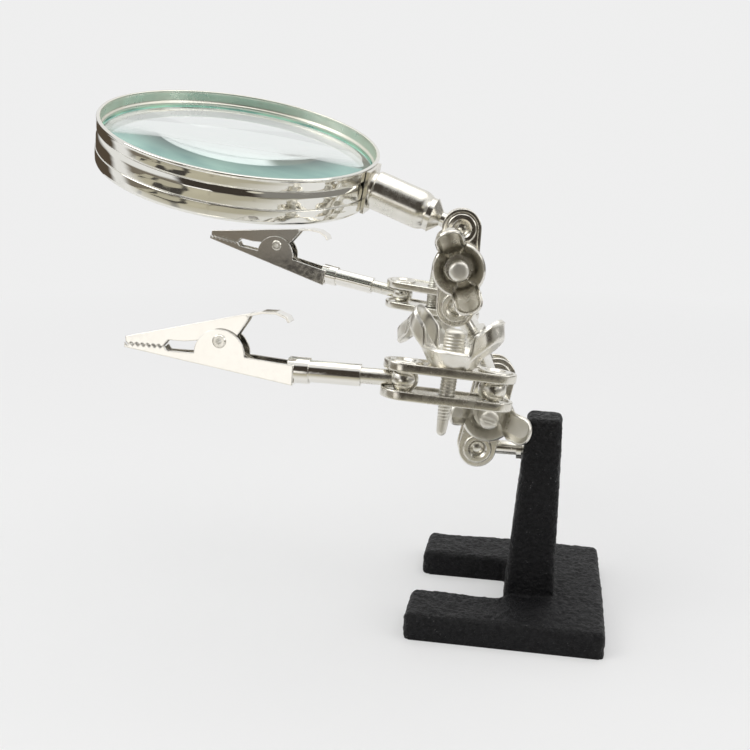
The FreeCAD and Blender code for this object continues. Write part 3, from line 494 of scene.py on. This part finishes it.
def head_grid(rows=32):
    """Stamped head above its plate, in millimetres.

    A row at share s is foot + s (edge - foot) + lift(s) flange, and the rows crowd towards the
    rim.  The lift is 0 until the line is within 1.9 mm of the edge on the cup, or 2.8 mm on a
    wing, then follows 3q^2 - 2q^3 up to 1 at the rim.  Towards a wing the line also sags 0.7 mm
    at radius 4.7 mm and swells 0.3 mm at 6.4 mm, which keeps the cup round.
    """
    edge, flange = whole_rim()
    bearing = np.arctan2(edge[:, 1], edge[:, 0])
    ring = np.column_stack([np.cos(bearing), np.sin(bearing), np.zeros(len(bearing))])
    foot = ring * CUP["foot"]
    share = 1 - (1 - np.linspace(0, 1, rows)) ** 1.35
    share = share[:, None, None]
    reach = np.linalg.norm(edge - foot, axis=1)[None, :, None]
    bend = 1.9 + 0.9 * wing_share(edge)[None, :, None]
    close = np.clip(1 - (1 - share) * reach / bend, 0, 1)
    lift = close * close * (3 - 2 * close)
    tray = foot + share * (edge - foot) + lift * flange
    outward = np.linalg.norm(tray[..., :2], axis=-1)
    swell = 0.3 * np.exp(-(((outward - 6.4) / 1.0) ** 2))
    swell -= 0.7 * np.exp(-(((outward - 4.7) / 0.9) ** 2))
    tray[..., 2] += swell * wing_share(edge)
    disc = np.linspace(CUP["hole"], CUP["foot"], 4)[:-1, None, None] * ring
    return np.vstack([disc, tray])


print("a wing head's grid is", head_grid().shape)

# %% Four wing heads, each on its own screw
CLAMPS = ("base", "front", "back", "lens")
PLATE_TOP = 3.65  # height of a plate's outer face over the clamp's middle, in millimetres


def screw_place(clamp):
    """Origin and axes of a clamp's screw.

    x points along one wing: it is the main direction of the CAD head's points more than 9 mm out.
    """
    spot, up = place_of(f"{clamp}_wing_screw_turn")
    away = points_of(f"{clamp}_clamp_wing_head") - spot
    away -= np.outer(away @ up, up)
    far = away[np.linalg.norm(away, axis=1) > 9 * MM]
    side = np.linalg.eigh(far.T @ far)[1][:, -1]
    return spot, cross_axes(up, side)


def put(local, spot, axes):
    """Local millimetres to the CAD frame: spot + x X + y Y + z Z."""
    return spot + local * MM @ axes


def wing_head(clamp):
    """One stamped head; the lens clamp's has the brighter plating, the others are satin."""
    spot, axes = screw_place(clamp)
    grid = head_grid() + [0, 0, PLATE_TOP + 0.05]
    piece = grid_piece(f"{clamp}_wing_head_pressing", put(grid, spot, axes),
                       f"{clamp}_wing_screw")
    sheet = piece.modifiers.new("Sheet", "SOLIDIFY")
    sheet.thickness, sheet.offset, sheet.use_even_offset = 0.75 * MM, 0.0, True
    rim = piece.modifiers.new("Rim", "BEVEL")
    rim.width, rim.segments = 0.2 * MM, 2
    rim.limit_method, rim.angle_limit = "ANGLE", math.radians(50)
    wear(piece, pressed_nickel if clamp == "lens" else satin_nickel)
    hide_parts(f"{clamp}_clamp_wing_head")


for clamp in CLAMPS:
    wing_head(clamp)

# %% [markdown]
# ## Threads
#
# A screw without a thread looks like a peg.  A thread is the turned profile with a height that
# depends on both the angle and the distance along: one turn further round is one pitch further
# along.  That is a single formula on the same grid, so no boolean or screw modifier is needed.

# %% Threaded screws with a peened end
def screw_profile():
    """(radius, height, thread depth) rows along a screw, tail first, in millimetres."""
    end, root, shank, boss = 1.05, 1.6, 1.72, 2.4
    tail, seat, top = -PLATE_TOP - 7.6, PLATE_TOP + 0.8, PLATE_TOP + 8.1
    dome = np.linspace(0, math.pi / 2, 8)
    low = np.column_stack([end * np.sin(dome), tail + end - end * np.cos(dome), 0 * dome])
    cone = np.linspace(tail + end, -PLATE_TOP, 50)[1:]
    cone_r = np.interp(cone, [tail + end, -PLATE_TOP], [end, root])
    cone_t = np.interp(cone, [tail + 2.5, -PLATE_TOP - 2], [0, 1])
    mid = np.linspace(-PLATE_TOP, seat, 70)[1:]
    high = np.linspace(seat + 0.02, top - 0.7, 60)
    high_t = np.interp(high, [seat, seat + 0.3, top - 1.3, top - 0.9], [0, 1, 1, 0])
    rows = [low, np.column_stack([cone_r, cone, cone_t]),
            np.column_stack([np.full(69, shank), mid, np.ones(69)]),
            np.column_stack([np.full(60, boss), high, high_t]),
            [[boss - 0.04, top - 0.6, 0], [boss - 0.2, top - 0.35, 0],
             [boss - 0.5, top - 0.15, 0], [boss - 0.9, top - 0.05, 0], [1.2, top - 0.02, 0],
             [0.9, top, 0], [0.6, top, 0], [0.3, top, 0], [0, top, 0]]]
    return np.vstack(rows)


def screw_grid(slotted, columns=64, pitch=0.7):
    """Radius minus 0.15 mm times a rounded saw of (height / pitch - angle / turn).

    The pitch is the 0.7 mm that the record couples to a turn.  The peened end is a little
    five-sided, and a slotted one drops up to 0.45 mm where |y| < 0.5 mm.
    """
    radius, height, thread = screw_profile().T
    angle = np.linspace(0, math.tau, columns, endpoint=False)
    phase = height[:, None] / pitch - angle[None] / math.tau
    saw = np.abs(2 * (phase - np.floor(phase)) - 1)
    groove = 0.15 * thread[:, None] * np.clip(saw * 1.4 - 0.2, 0, 1)
    peened = np.interp(height, [PLATE_TOP + 6.9, PLATE_TOP + 7.8], [0, 1])[:, None]
    facet = 1 - 0.03 * peened * (1 - np.cos(5 * angle + 0.6 * np.sin(2 * angle)))[None]
    reach = (radius[:, None] - groove) * facet
    x, y = reach * np.cos(angle), reach * np.sin(angle)
    slot = slotted * np.clip((0.5 - np.abs(y)) / 0.12, 0, 1) * (height > PLATE_TOP + 7.4)[:, None]
    return np.stack([x, y, height[:, None] - 0.45 * slot], axis=-1)


for clamp in CLAMPS:
    spot, axes = screw_place(clamp)
    screw = grid_piece(f"{clamp}_threaded_screw", put(screw_grid(clamp == "base"), spot, axes),
                       f"{clamp}_wing_screw")
    wear(screw, screw_steel)
    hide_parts(f"{clamp}_clamp_screw")

# %% [markdown]
# ## Rolled plate edges
#
# The clamp plates are pressed from sheet, and the press turns their edge into a rounded rim that
# stands proud of the face.  That rim is what catches the light round each plate.  It is one small
# rounded section carried round the plate's outline, two half circles joined by straight sides.

# %% A rim for each plate of the three upper clamps
def oblong(half, radius, count=36):
    """Closed path of two half circles at +-half joined by straights, with its outward normals."""
    turn = np.linspace(-math.pi / 2, math.pi / 2, count)
    half_circle = np.column_stack([np.cos(turn), np.sin(turn)])
    normal = np.vstack([half_circle, -half_circle])
    middle = np.repeat([[half, 0.0], [-half, 0.0]], count, axis=0)
    return middle + radius * normal, normal


def rim_section(low, high, width, corner=0.34, steps=6):
    """Closed rounded rectangle of (outward, height) rows with superellipse corners."""
    turn = np.linspace(0, math.tau, 4 * steps, endpoint=False)
    cos, sin = np.cos(turn), np.sin(turn)
    out = np.sign(cos) * np.abs(cos) ** corner * width / 2
    up = np.sign(sin) * np.abs(sin) ** corner * (high - low) / 2 + (high + low) / 2
    return np.column_stack([out, up])


# A plate in millimetres: half the distance between its end circles, their radius, its inner face,
# and how the rim lies: its middle in from the edge, its width and how far it stands proud.
PLATE = {"half": 9.5, "radius": 4.7, "face": 2.45, "inset": 0.42, "width": 0.95, "proud": 0.28}


def plate_rim(clamp, kind, body):
    """Rim of one plate: each point is path + outward * normal, at the section's own height.

    The rim also reaches inside the plate's inner face: by 0.12 mm on the lens clamp, which keeps
    it clear of the handle, and by 0.45 mm on the others.
    """
    spot, up = place_of(f"{clamp}_wing_screw_turn")
    inner, outer = f"{clamp}_clamp_turn", f"{clamp}_clip_swing"
    inside = 0.45
    if clamp == "lens":
        inner, outer, inside = "lens_clamp_swing", "lens_swing", 0.12
    axes = cross_axes(up, place_of(outer)[0] - place_of(inner)[0])
    path, normal = oblong(PLATE["half"], PLATE["radius"] - PLATE["inset"])
    section = rim_section(PLATE["face"] - inside, PLATE_TOP + PLATE["proud"], PLATE["width"])
    if kind == "tapped_plate":
        section = section * [1, -1]
    grid = np.empty((len(section), len(path), 3))
    grid[..., :2] = path[None] + section[:, 0][:, None, None] * normal[None]
    grid[..., 2] = section[:, 1][:, None]
    piece = grid_piece(f"{clamp}_{kind}_rim", put(grid, spot, axes), body, wrap_rows=True)
    wear(piece, pressed_nickel)


for clamp in ("front", "back", "lens"):
    plate_rim(clamp, "plain_plate", f"{clamp}_clamp")
    plate_rim(clamp, "tapped_plate", f"{clamp}_tapped_plate")

# %% [markdown]
# ## The lens and its frame
#
# The frame is rolled from strip: a band and a ring pushed in from below.  A groove is rolled into
# the band, and its inside is the bead that the glass rests under.  The glass is a thick
# double-convex disc with a ground edge.  All three are turned shapes, so each is a profile
# carried round the axis of the CAD glass.

# %% Profiles of the glass, the band and the ring
# In millimetres: band and glass are radii; height, bead and ring are measured down the axis.
LENS = {"band": 35.0, "sheet": 0.7, "height": 7.4, "bead": 3.2, "bead_width": 0.9,
        "bead_depth": 0.5, "ring": 3.7, "proud": 0.1, "glass": 34.0, "edge": 2.2, "crown": 2.6,
        "seat": 0.05}
glass_mid = -(LENS["bead"] + LENS["bead_width"] + LENS["seat"] + LENS["edge"] / 2)
lens_top = lens_centre - lens_up * glass_mid * MM
lens_frame = cross_axes(lens_up, place_of("lens_twist")[0] - lens_centre)


def glass_profile(count=40):
    """Cap of a sphere above and below, joined by a ground edge; heights from the band's top.

    A cap stands sqrt(R^2 - r^2) - (R - crown) high at radius r, where the sphere's radius R is
    (glass^2 + crown^2) / (2 crown).
    """
    radius = LENS["glass"] - 0.15
    r = radius * np.sin(np.linspace(0, math.pi / 2, count))
    ball = (LENS["glass"] ** 2 + LENS["crown"] ** 2) / (2 * LENS["crown"])
    crown = np.sqrt(ball ** 2 - r ** 2) - (ball - LENS["crown"])
    half = LENS["edge"] / 2
    upper = np.column_stack([r, glass_mid + half - 0.03 + crown])
    lower = np.column_stack([r, glass_mid - half + 0.03 - crown])[::-1]
    ground = np.array([[radius + 0.12, glass_mid + half - 0.25],
                       [radius + 0.12, glass_mid - half + 0.25]])
    return np.vstack([upper, ground, lower])


def band_profile():
    """Strip with a rolled lip at the top and a groove: a short step in, then a long slope out."""
    outer, sheet, depth = LENS["band"], LENS["sheet"], LENS["bead_depth"]
    inner = outer - sheet
    bead, foot = -LENS["bead"], -LENS["height"]
    path = [(inner, foot), (inner, bead - 1.2), (inner - depth, bead - 0.35),
            (inner - depth, bead), (inner, bead + 0.4), (inner, -0.7), (inner - 0.12, -0.45),
            (inner - 0.12, -0.1), (inner + 0.05, 0.0), (outer - 0.05, 0.0),
            (outer + 0.12, -0.15), (outer + 0.12, -0.5), (outer, -0.72), (outer + 0.04, -1.5),
            (outer, bead + 0.4), (outer - 0.05, bead + 0.34), (outer - depth, bead + 0.06),
            (outer - depth * 0.98, bead - 0.12), (outer - depth * 0.5, bead - 0.66),
            (outer - depth * 0.14, bead - 1.2), (outer, bead - 1.5), (outer + 0.03, bead - 2.6),
            (outer, foot + 0.1), (outer - 0.08, foot), (inner, foot)]
    return rounded(path, 0.22, 4)


def ring_profile():
    """Pushed-in ring that meets the band's foot in a fine line."""
    outer, inner = LENS["band"] + LENS["proud"], LENS["band"] - LENS["sheet"]
    spigot, top = inner - 0.95, glass_mid - LENS["edge"] / 2 - 0.18
    foot, under = -LENS["height"], -LENS["height"] - LENS["ring"]
    path = [(spigot, under + 0.1), (spigot, top), (inner - 0.03, top), (inner - 0.03, foot),
            (outer - 0.25, foot), (outer - 0.02, foot - 0.15), (outer + 0.03, foot - 1.6),
            (outer - 0.04, under + 0.8), (outer - 0.2, under + 0.3), (outer - 0.55, under),
            (spigot + 0.1, under), (spigot, under + 0.1)]
    return rounded(path, 0.18, 4)


def lens_piece(name, profile):
    """A profile in millimetres turned about the lens axis in 224 steps."""
    grid = turned(lens_top, lens_frame, profile * MM, 224)
    return grid_piece(name, grid, "lens")


glass = lens_piece("ground_glass", glass_profile())
band = lens_piece("rolled_band", band_profile())
ring = lens_piece("scored_ring", ring_profile())
for piece, node in ((glass, "lens_glass"), (band, "lens_band"), (ring, "lens_retaining_ring")):
    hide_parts(node)
wear(band, lens_chrome)
wear(ring, lens_chrome)


def second_finish(piece, finish, chosen):
    """Adds a finish for the faces whose distance from the lens axis, in mm, is chosen."""
    piece.data.materials.append(finish)
    for face in piece.data.polygons:
        out = np.array(face.center) - lens_top
        if chosen(np.linalg.norm(out - out @ lens_up * lens_up) / MM):
            face.material_index = 1
    count = sum(face.material_index for face in piece.data.polygons)
    print(piece.name, "has", count, "faces in", finish.name)


inner_nickel = plated("inner_nickel", (0.84, 0.83, 0.74), (0.26, 0.36), 0.10, 0.10, edge=0)
second_finish(band, inner_nickel, lambda r: r < LENS["band"] - 0.55)

# %% [markdown]
# ## The handle
#
# A polished tube joins the saddle to the ball.  The end by the ball is spun down into a rounded
# shoulder, so the handle seems to flow into the ball's neck instead of ending in a flat cut.

# %% Spun handle tube
def spun_handle():
    """Turned profile along the handle's axis; heights are counted from the ball's centre.

    Its neck starts 0.7 mm before the CAD tube, and its wide end reaches 1.2 mm beyond it.
    """
    ball, along = place_of("lens_twist")
    reach = (points_of("handle_tube") - ball) @ along / MM
    near, far = reach.min() + 0.9, reach.max() + 1.2
    wall, neck = 4.8, 1.95
    path = [(neck, near - 1.6), (2.3, near - 1.6), (2.9, near - 1.0), (3.7, near - 0.2),
            (4.3, near + 0.7), (wall - 0.1, near + 1.8), (wall, near + 2.6), (wall, far - 0.5),
            (wall - 0.15, far), (wall - 0.7, far), (wall - 0.7, near + 1.5),
            (neck, near - 0.9), (neck, near - 1.6)]
    axes = cross_axes(along, np.array([0.0, 1.0, 0.0]))
    piece = grid_piece("spun_handle", turned(ball, axes, rounded(path, 0.5, 5) * MM, 128), "lens")
    wear(piece, turned_nickel)
    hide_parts("handle_tube")
    print("handle from", round(near, 1), "to", round(far, 1), "mm")


spun_handle()

# %% [markdown]
# ## Clear glass
#
# Cheap lens glass is faintly green, so the body is a transmissive Principled shader in a pale
# green.  Near its edge such a lens shows a pale aqua crescent, which the plain shader leaves dark
# here.  So the glass gives off a faint aqua glow where a ray meets it from inside at a slant, and
# the ground edge glows too.  That stands in for light that runs inside the lens; it isn't how
# real glass works.  A trace of roughness stands for dust and wiping marks.

# %% Lens glass
def clear_glass():
    """Pale green glass that glows on its inside, where the slant is past 0.22 to 0.40."""
    finish = Finish("clear_glass", Transmission_Weight=1.0, IOR=1.52)
    dust = finish.noise(0.0045, 4.0)
    colour = finish.mix(finish.ramp(dust, 0, 1), (0.955, 0.99, 0.975, 1), (0.93, 0.98, 0.96, 1))
    rough = finish.ramp(dust, 0.0, 0.03, 0.5, 0.8)
    normal = finish.bump(finish.noise(0.02, 1.0), 0.001, 0.02)
    inside = finish.add("ShaderNodeNewGeometry").outputs["Backfacing"]
    streak = finish.noise(0.016, 2.0, stretch=(1, 3, 1))
    # Colour of the painted inner glow, in aqua streaks.
    inner_glow_tone = finish.mix(finish.ramp(streak, 0, 1, 0.42, 0.60),
                      (0.090, 0.140, 0.120, 1), (0.034, 0.070, 0.066, 1))
    facing = finish.add("ShaderNodeLayerWeight", {"Blend": 0.5}).outputs["Facing"]
    inside = finish.add("ShaderNodeMath", {0: inside, 1: finish.ramp(facing, 0, 1, 0.22, 0.40)},
                        operation="MULTIPLY").outputs[0]
    glow = finish.mix(inside, (0, 0, 0, 1), inner_glow_tone)
    finish.shader.inputs["Emission Strength"].default_value = 1.0
    return finish.set(Base_Color=colour, Roughness=rough, Normal=normal, Emission_Color=glow)


def ground_edge():
    """Matt ground glass, greener in streaks, with a glow that stands in for light inside."""
    finish = Finish("ground_edge", Roughness=0.6, Emission_Strength=0.75)
    streak = finish.noise(0.012, 4.0, stretch=(1, 1, 5))
    tone = finish.mix(finish.ramp(streak, 0, 1, 0.40, 0.62),
                      (0.50, 0.80, 0.69, 1), (0.10, 0.24, 0.24, 1))
    return finish.set(Base_Color=tone, Emission_Color=tone)


wear(glass, clear_glass())
second_finish(glass, ground_edge(), lambda r: r > LENS["glass"] - 0.1)

# %% [markdown]
# ## Finishes for the CAD parts
#
# Everything that is already right in the CAD model keeps its mesh and only gets a finish: turned
# parts, pressed plates, the saddle, clip sheet and the springs.

# %% Dress the CAD nodes
WEARS = {
    turned_nickel: ("ball_rod", "ball_stud", "hub_upright", "crossbar", "ball_stem", "rivet"),
    pressed_nickel: ("plate", "saddle"),
    clip_nickel: ("jaw", "sleeve"),
    spring_wire: ("spring",),
}
for name, node in nodes.items():
    for finish, words in WEARS.items():
        if any(word in name for word in words):
            wear(node, finish)
dressed = [node for node in nodes.values() if node.data.materials and not node.hide_render]
print("dressed", len(dressed), "CAD nodes")

# %% [markdown]
# ## Floor, light and camera
#
# The object stands on a plain pale sweep.  For the camera the floor fades into the same pale tone
# as the world, so that no horizon shows, but near the object it is an ordinary surface and keeps
# the soft shadow.  The room behind the camera is dark, as any room is beyond a lit table: bright
# metal needs something dark to reflect, or it looks like white plastic.  The dark parts of the
# room are seen only in reflections and through the glass.  The floor in front is seen only in
# reflections, as a tan that is partly the table's own brown and partly painted shade.

# %% Pale world with a dim room behind the camera
PALE = (0.86, 0.86, 0.86, 1)
camera_spot = np.array([5.372, -244.094, 123.927]) * MM
camera_axes = np.array([[0.9844, 0.1747, 0.0196], [-0.06294, 0.24614, 0.96719],
                        [0.16409, -0.95337, 0.25330]])


def pale_world():
    """World with three faces: pale for the camera, plain light, and a room in reflections."""
    world = bpy.data.worlds.new("studio")
    bpy.context.scene.world = world
    world.use_nodes = True
    tree = world.node_tree
    tree.nodes.clear()
    new, link = tree.nodes.new, tree.links.new
    way = new("ShaderNodeTexCoord").outputs["Generated"]
    parts = new("ShaderNodeSeparateXYZ")
    link(way, parts.inputs[0])

    def mapped(value, a, b, low, high):
        """Smooth step of a value from low at a to high at b."""
        node = new("ShaderNodeMapRange")
        node.interpolation_type = "SMOOTHSTEP"
        link(value, node.inputs["Value"])
        for key, number in (("From Min", a), ("From Max", b), ("To Min", low), ("To Max", high)):
            node.inputs[key].default_value = number
        return node.outputs["Result"]

    def times(a, b):
        """Product of two shares."""
        node = new("ShaderNodeMath")
        node.operation = "MULTIPLY"
        link(a, node.inputs[0])
        link(b, node.inputs[1])
        return node.outputs[0]

    def blended(share, first, second):
        """Colour between first and second."""
        node = new("ShaderNodeMix")
        node.data_type = "RGBA"
        link(share, node.inputs["Factor"])
        colours = [socket for socket in node.inputs if socket.type == "RGBA"]
        for socket, value in zip(colours, (first, second)):
            if isinstance(value, bpy.types.NodeSocket):
                link(value, socket)
            else:
                socket.default_value = value
        return [socket for socket in node.outputs if socket.type == "RGBA"][0]

    def around(bearing, narrow, wide):
        """1 inside a cone about the bearing, fading to 0 between the two angles."""
        node = new("ShaderNodeVectorMath")
        node.operation = "DOT_PRODUCT"
        link(way, node.inputs[0])
        node.inputs[1].default_value = Vector(bearing).normalized()
        inner, outer = math.cos(math.radians(narrow)), math.cos(math.radians(wide))
        return mapped(node.outputs["Value"], outer, inner, 0, 1)

    # x, y and z are parts of a direction: to the right, away from the camera and up.
    x, y, z = parts.outputs
    front = mapped(y, -0.06, -0.26, 0, 1)
    middle = times(mapped(x, 0.66, 0.50, 0, 1), mapped(x, -0.50, -0.36, 0, 1))
    dark = times(times(front, middle), mapped(z, 0.84, 0.72, 0, 1))
    right = times(mapped(x, 0.35, 0.60, 0, 0.8), mapped(z, 0.42, 0.22, 0, 1))
    left = times(times(mapped(x, -0.30, -0.50, 0, 1), front), mapped(z, 0.22, 0.10, 0, 1))
    pattern = blended(right, PALE, (0.10, 0.09, 0.07, 1))
    pattern = blended(left, pattern, (0.20, 0.175, 0.14, 1))
    pattern = blended(dark, pattern, (0.050, 0.042, 0.034, 1))
    corner = times(mapped(x, -0.48, -0.60, 0, 1), mapped(y, 0.10, 0.28, 0, 1))
    corner = times(corner, mapped(z, 0.25, 0.12, 0, 1))
    pattern = blended(corner, pattern, (0.09, 0.07, 0.05, 1))
    pattern = blended(around((0.55, -0.80, 0.25), 5, 8), pattern, (0.75, 0.72, 0.62, 1))
    path = new("ShaderNodeLightPath")
    plain = new("ShaderNodeBackground")
    plain.inputs["Color"].default_value = (0.96, 0.965, 0.98, 1)
    plain.inputs["Strength"].default_value = 0.62
    seen = new("ShaderNodeBackground")
    link(pattern, seen.inputs["Color"])
    sky = new("ShaderNodeBackground")
    sky.inputs["Color"].default_value = PALE
    shown = new("ShaderNodeMath")
    shown.operation = "MAXIMUM"
    link(path.outputs["Is Glossy Ray"], shown.inputs[0])
    link(path.outputs["Is Transmission Ray"], shown.inputs[1])
    first, second = new("ShaderNodeMixShader"), new("ShaderNodeMixShader")
    link(shown.outputs[0], first.inputs[0])
    link(plain.outputs[0], first.inputs[1])
    link(seen.outputs[0], first.inputs[2])
    link(path.outputs["Is Camera Ray"], second.inputs[0])
    link(first.outputs[0], second.inputs[1])
    link(sky.outputs[0], second.inputs[2])
    link(second.outputs[0], new("ShaderNodeOutputWorld").inputs["Surface"])


pale_world()

# %% A floor that fades into the world
def sweep_floor():
    """Disc whose rings grow outwards; its material fades to the world's tone with distance."""
    radius = np.geomspace(0.01, 0.62, 24)
    angle = np.linspace(0, math.tau, 64, endpoint=False)
    ring = np.stack([np.cos(angle), np.sin(angle), 0 * angle], axis=-1)
    grid = np.vstack([np.zeros((1, 64, 3)), radius[:, None, None] * ring]) + [0, 0, -0.00004]
    floor = grid_piece("floor", grid, "base")
    floor.parent = None
    del floor["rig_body"]
    finish = Finish("pale_sweep", Roughness=0.9)
    length = finish.add("ShaderNodeVectorMath", {0: finish.place},
                        operation="LENGTH").outputs["Value"]
    far = finish.ramp(length, 0.35, 1.0, 0.10, 0.5)
    path = finish.add("ShaderNodeLightPath")
    depth = finish.add("ShaderNodeSeparateXYZ", {0: finish.place}).outputs["Y"]
    front = finish.add("ShaderNodeMath", {
        0: finish.ramp(depth, 0, 1, -0.08, -0.18), 1: path.outputs["Is Glossy Ray"],
    }, operation="MULTIPLY").outputs[0]
    # Seen only in reflections, the floor in front is tan: partly the table's own brown and partly
    # painted shade, with dark patches, and painted darker still further in front.
    dark_patch = finish.ramp(finish.noise(0.08, 0.0), 0, 1, 0.56, 0.66)
    shaded_tan = finish.mix(dark_patch, (0.46, 0.43, 0.33, 1), (0.03, 0.025, 0.02, 1))
    shaded_tan = finish.mix(finish.ramp(depth, 0, 1, -0.30, -0.42), shaded_tan, (0.03, 0.025, 0.02, 1))
    finish.set(Base_Color=finish.mix(front, (0.90, 0.90, 0.90, 1), shaded_tan))
    share = finish.add("ShaderNodeMath", {0: far, 1: path.outputs["Is Camera Ray"]},
                       operation="MULTIPLY").outputs[0]
    glow = finish.add("ShaderNodeEmission", {"Color": PALE})
    blend = finish.add("ShaderNodeMixShader", {0: share})
    finish.link(finish.shader.outputs[0], blend.inputs[1])
    finish.link(glow.outputs[0], blend.inputs[2])
    finish.link(blend.outputs[0], finish.tree.nodes["Material Output"].inputs["Surface"])
    floor.data.materials.append(finish.material)


sweep_floor()

# %% Soft lamps
LAMP_TONE = (1, 0.985, 0.96)


def soft_lamp(name, spot, size, power, aim=(-0.02, 0, 0.06), tall=None):
    """Area lamp of this size and power that faces the aim; tall makes it a rectangle."""
    lamp = bpy.data.lights.new(name, "AREA")
    lamp.shape = "RECTANGLE"
    lamp.size, lamp.size_y, lamp.energy, lamp.color = size, tall or size, power, LAMP_TONE
    holder = bpy.data.objects.new(name, lamp)
    holder.location = spot
    holder.rotation_euler = (Vector(aim) - Vector(spot)).to_track_quat("-Z", "Y").to_euler()
    holder.visible_camera = False
    bpy.context.scene.collection.objects.link(holder)


soft_lamp("key_left", (-0.55, -0.30, 0.62), 0.45, 1.6)
soft_lamp("overhead", (0.05, 0.10, 0.80), 0.70, 1.6)
soft_lamp("fill_right", (0.60, -0.10, 0.35), 0.30, 0.5)
# The card is a small weak lamp, low in front of the clips.
soft_lamp("white_card", (-0.136, -0.28, 0.060), 0.115, 0.028, aim=(-0.128, 0, 0.060), tall=0.07)

# %% Camera and view settings
def look_through():
    """Camera with a 36 mm wide sensor, level with the object's top, looking slightly down."""
    lens = bpy.data.cameras.new("camera")
    lens.sensor_width, lens.lens, lens.clip_start = 36.0, 48.115, 0.01
    camera = bpy.data.objects.new("camera", lens)
    basis = np.eye(4)
    basis[:3, :3], basis[:3, 3] = camera_axes.T, camera_spot
    camera.matrix_world = Matrix(basis.tolist())
    bpy.context.scene.collection.objects.link(camera)
    bpy.context.scene.camera = camera
    bpy.context.scene.view_settings.view_transform = "Standard"


look_through()
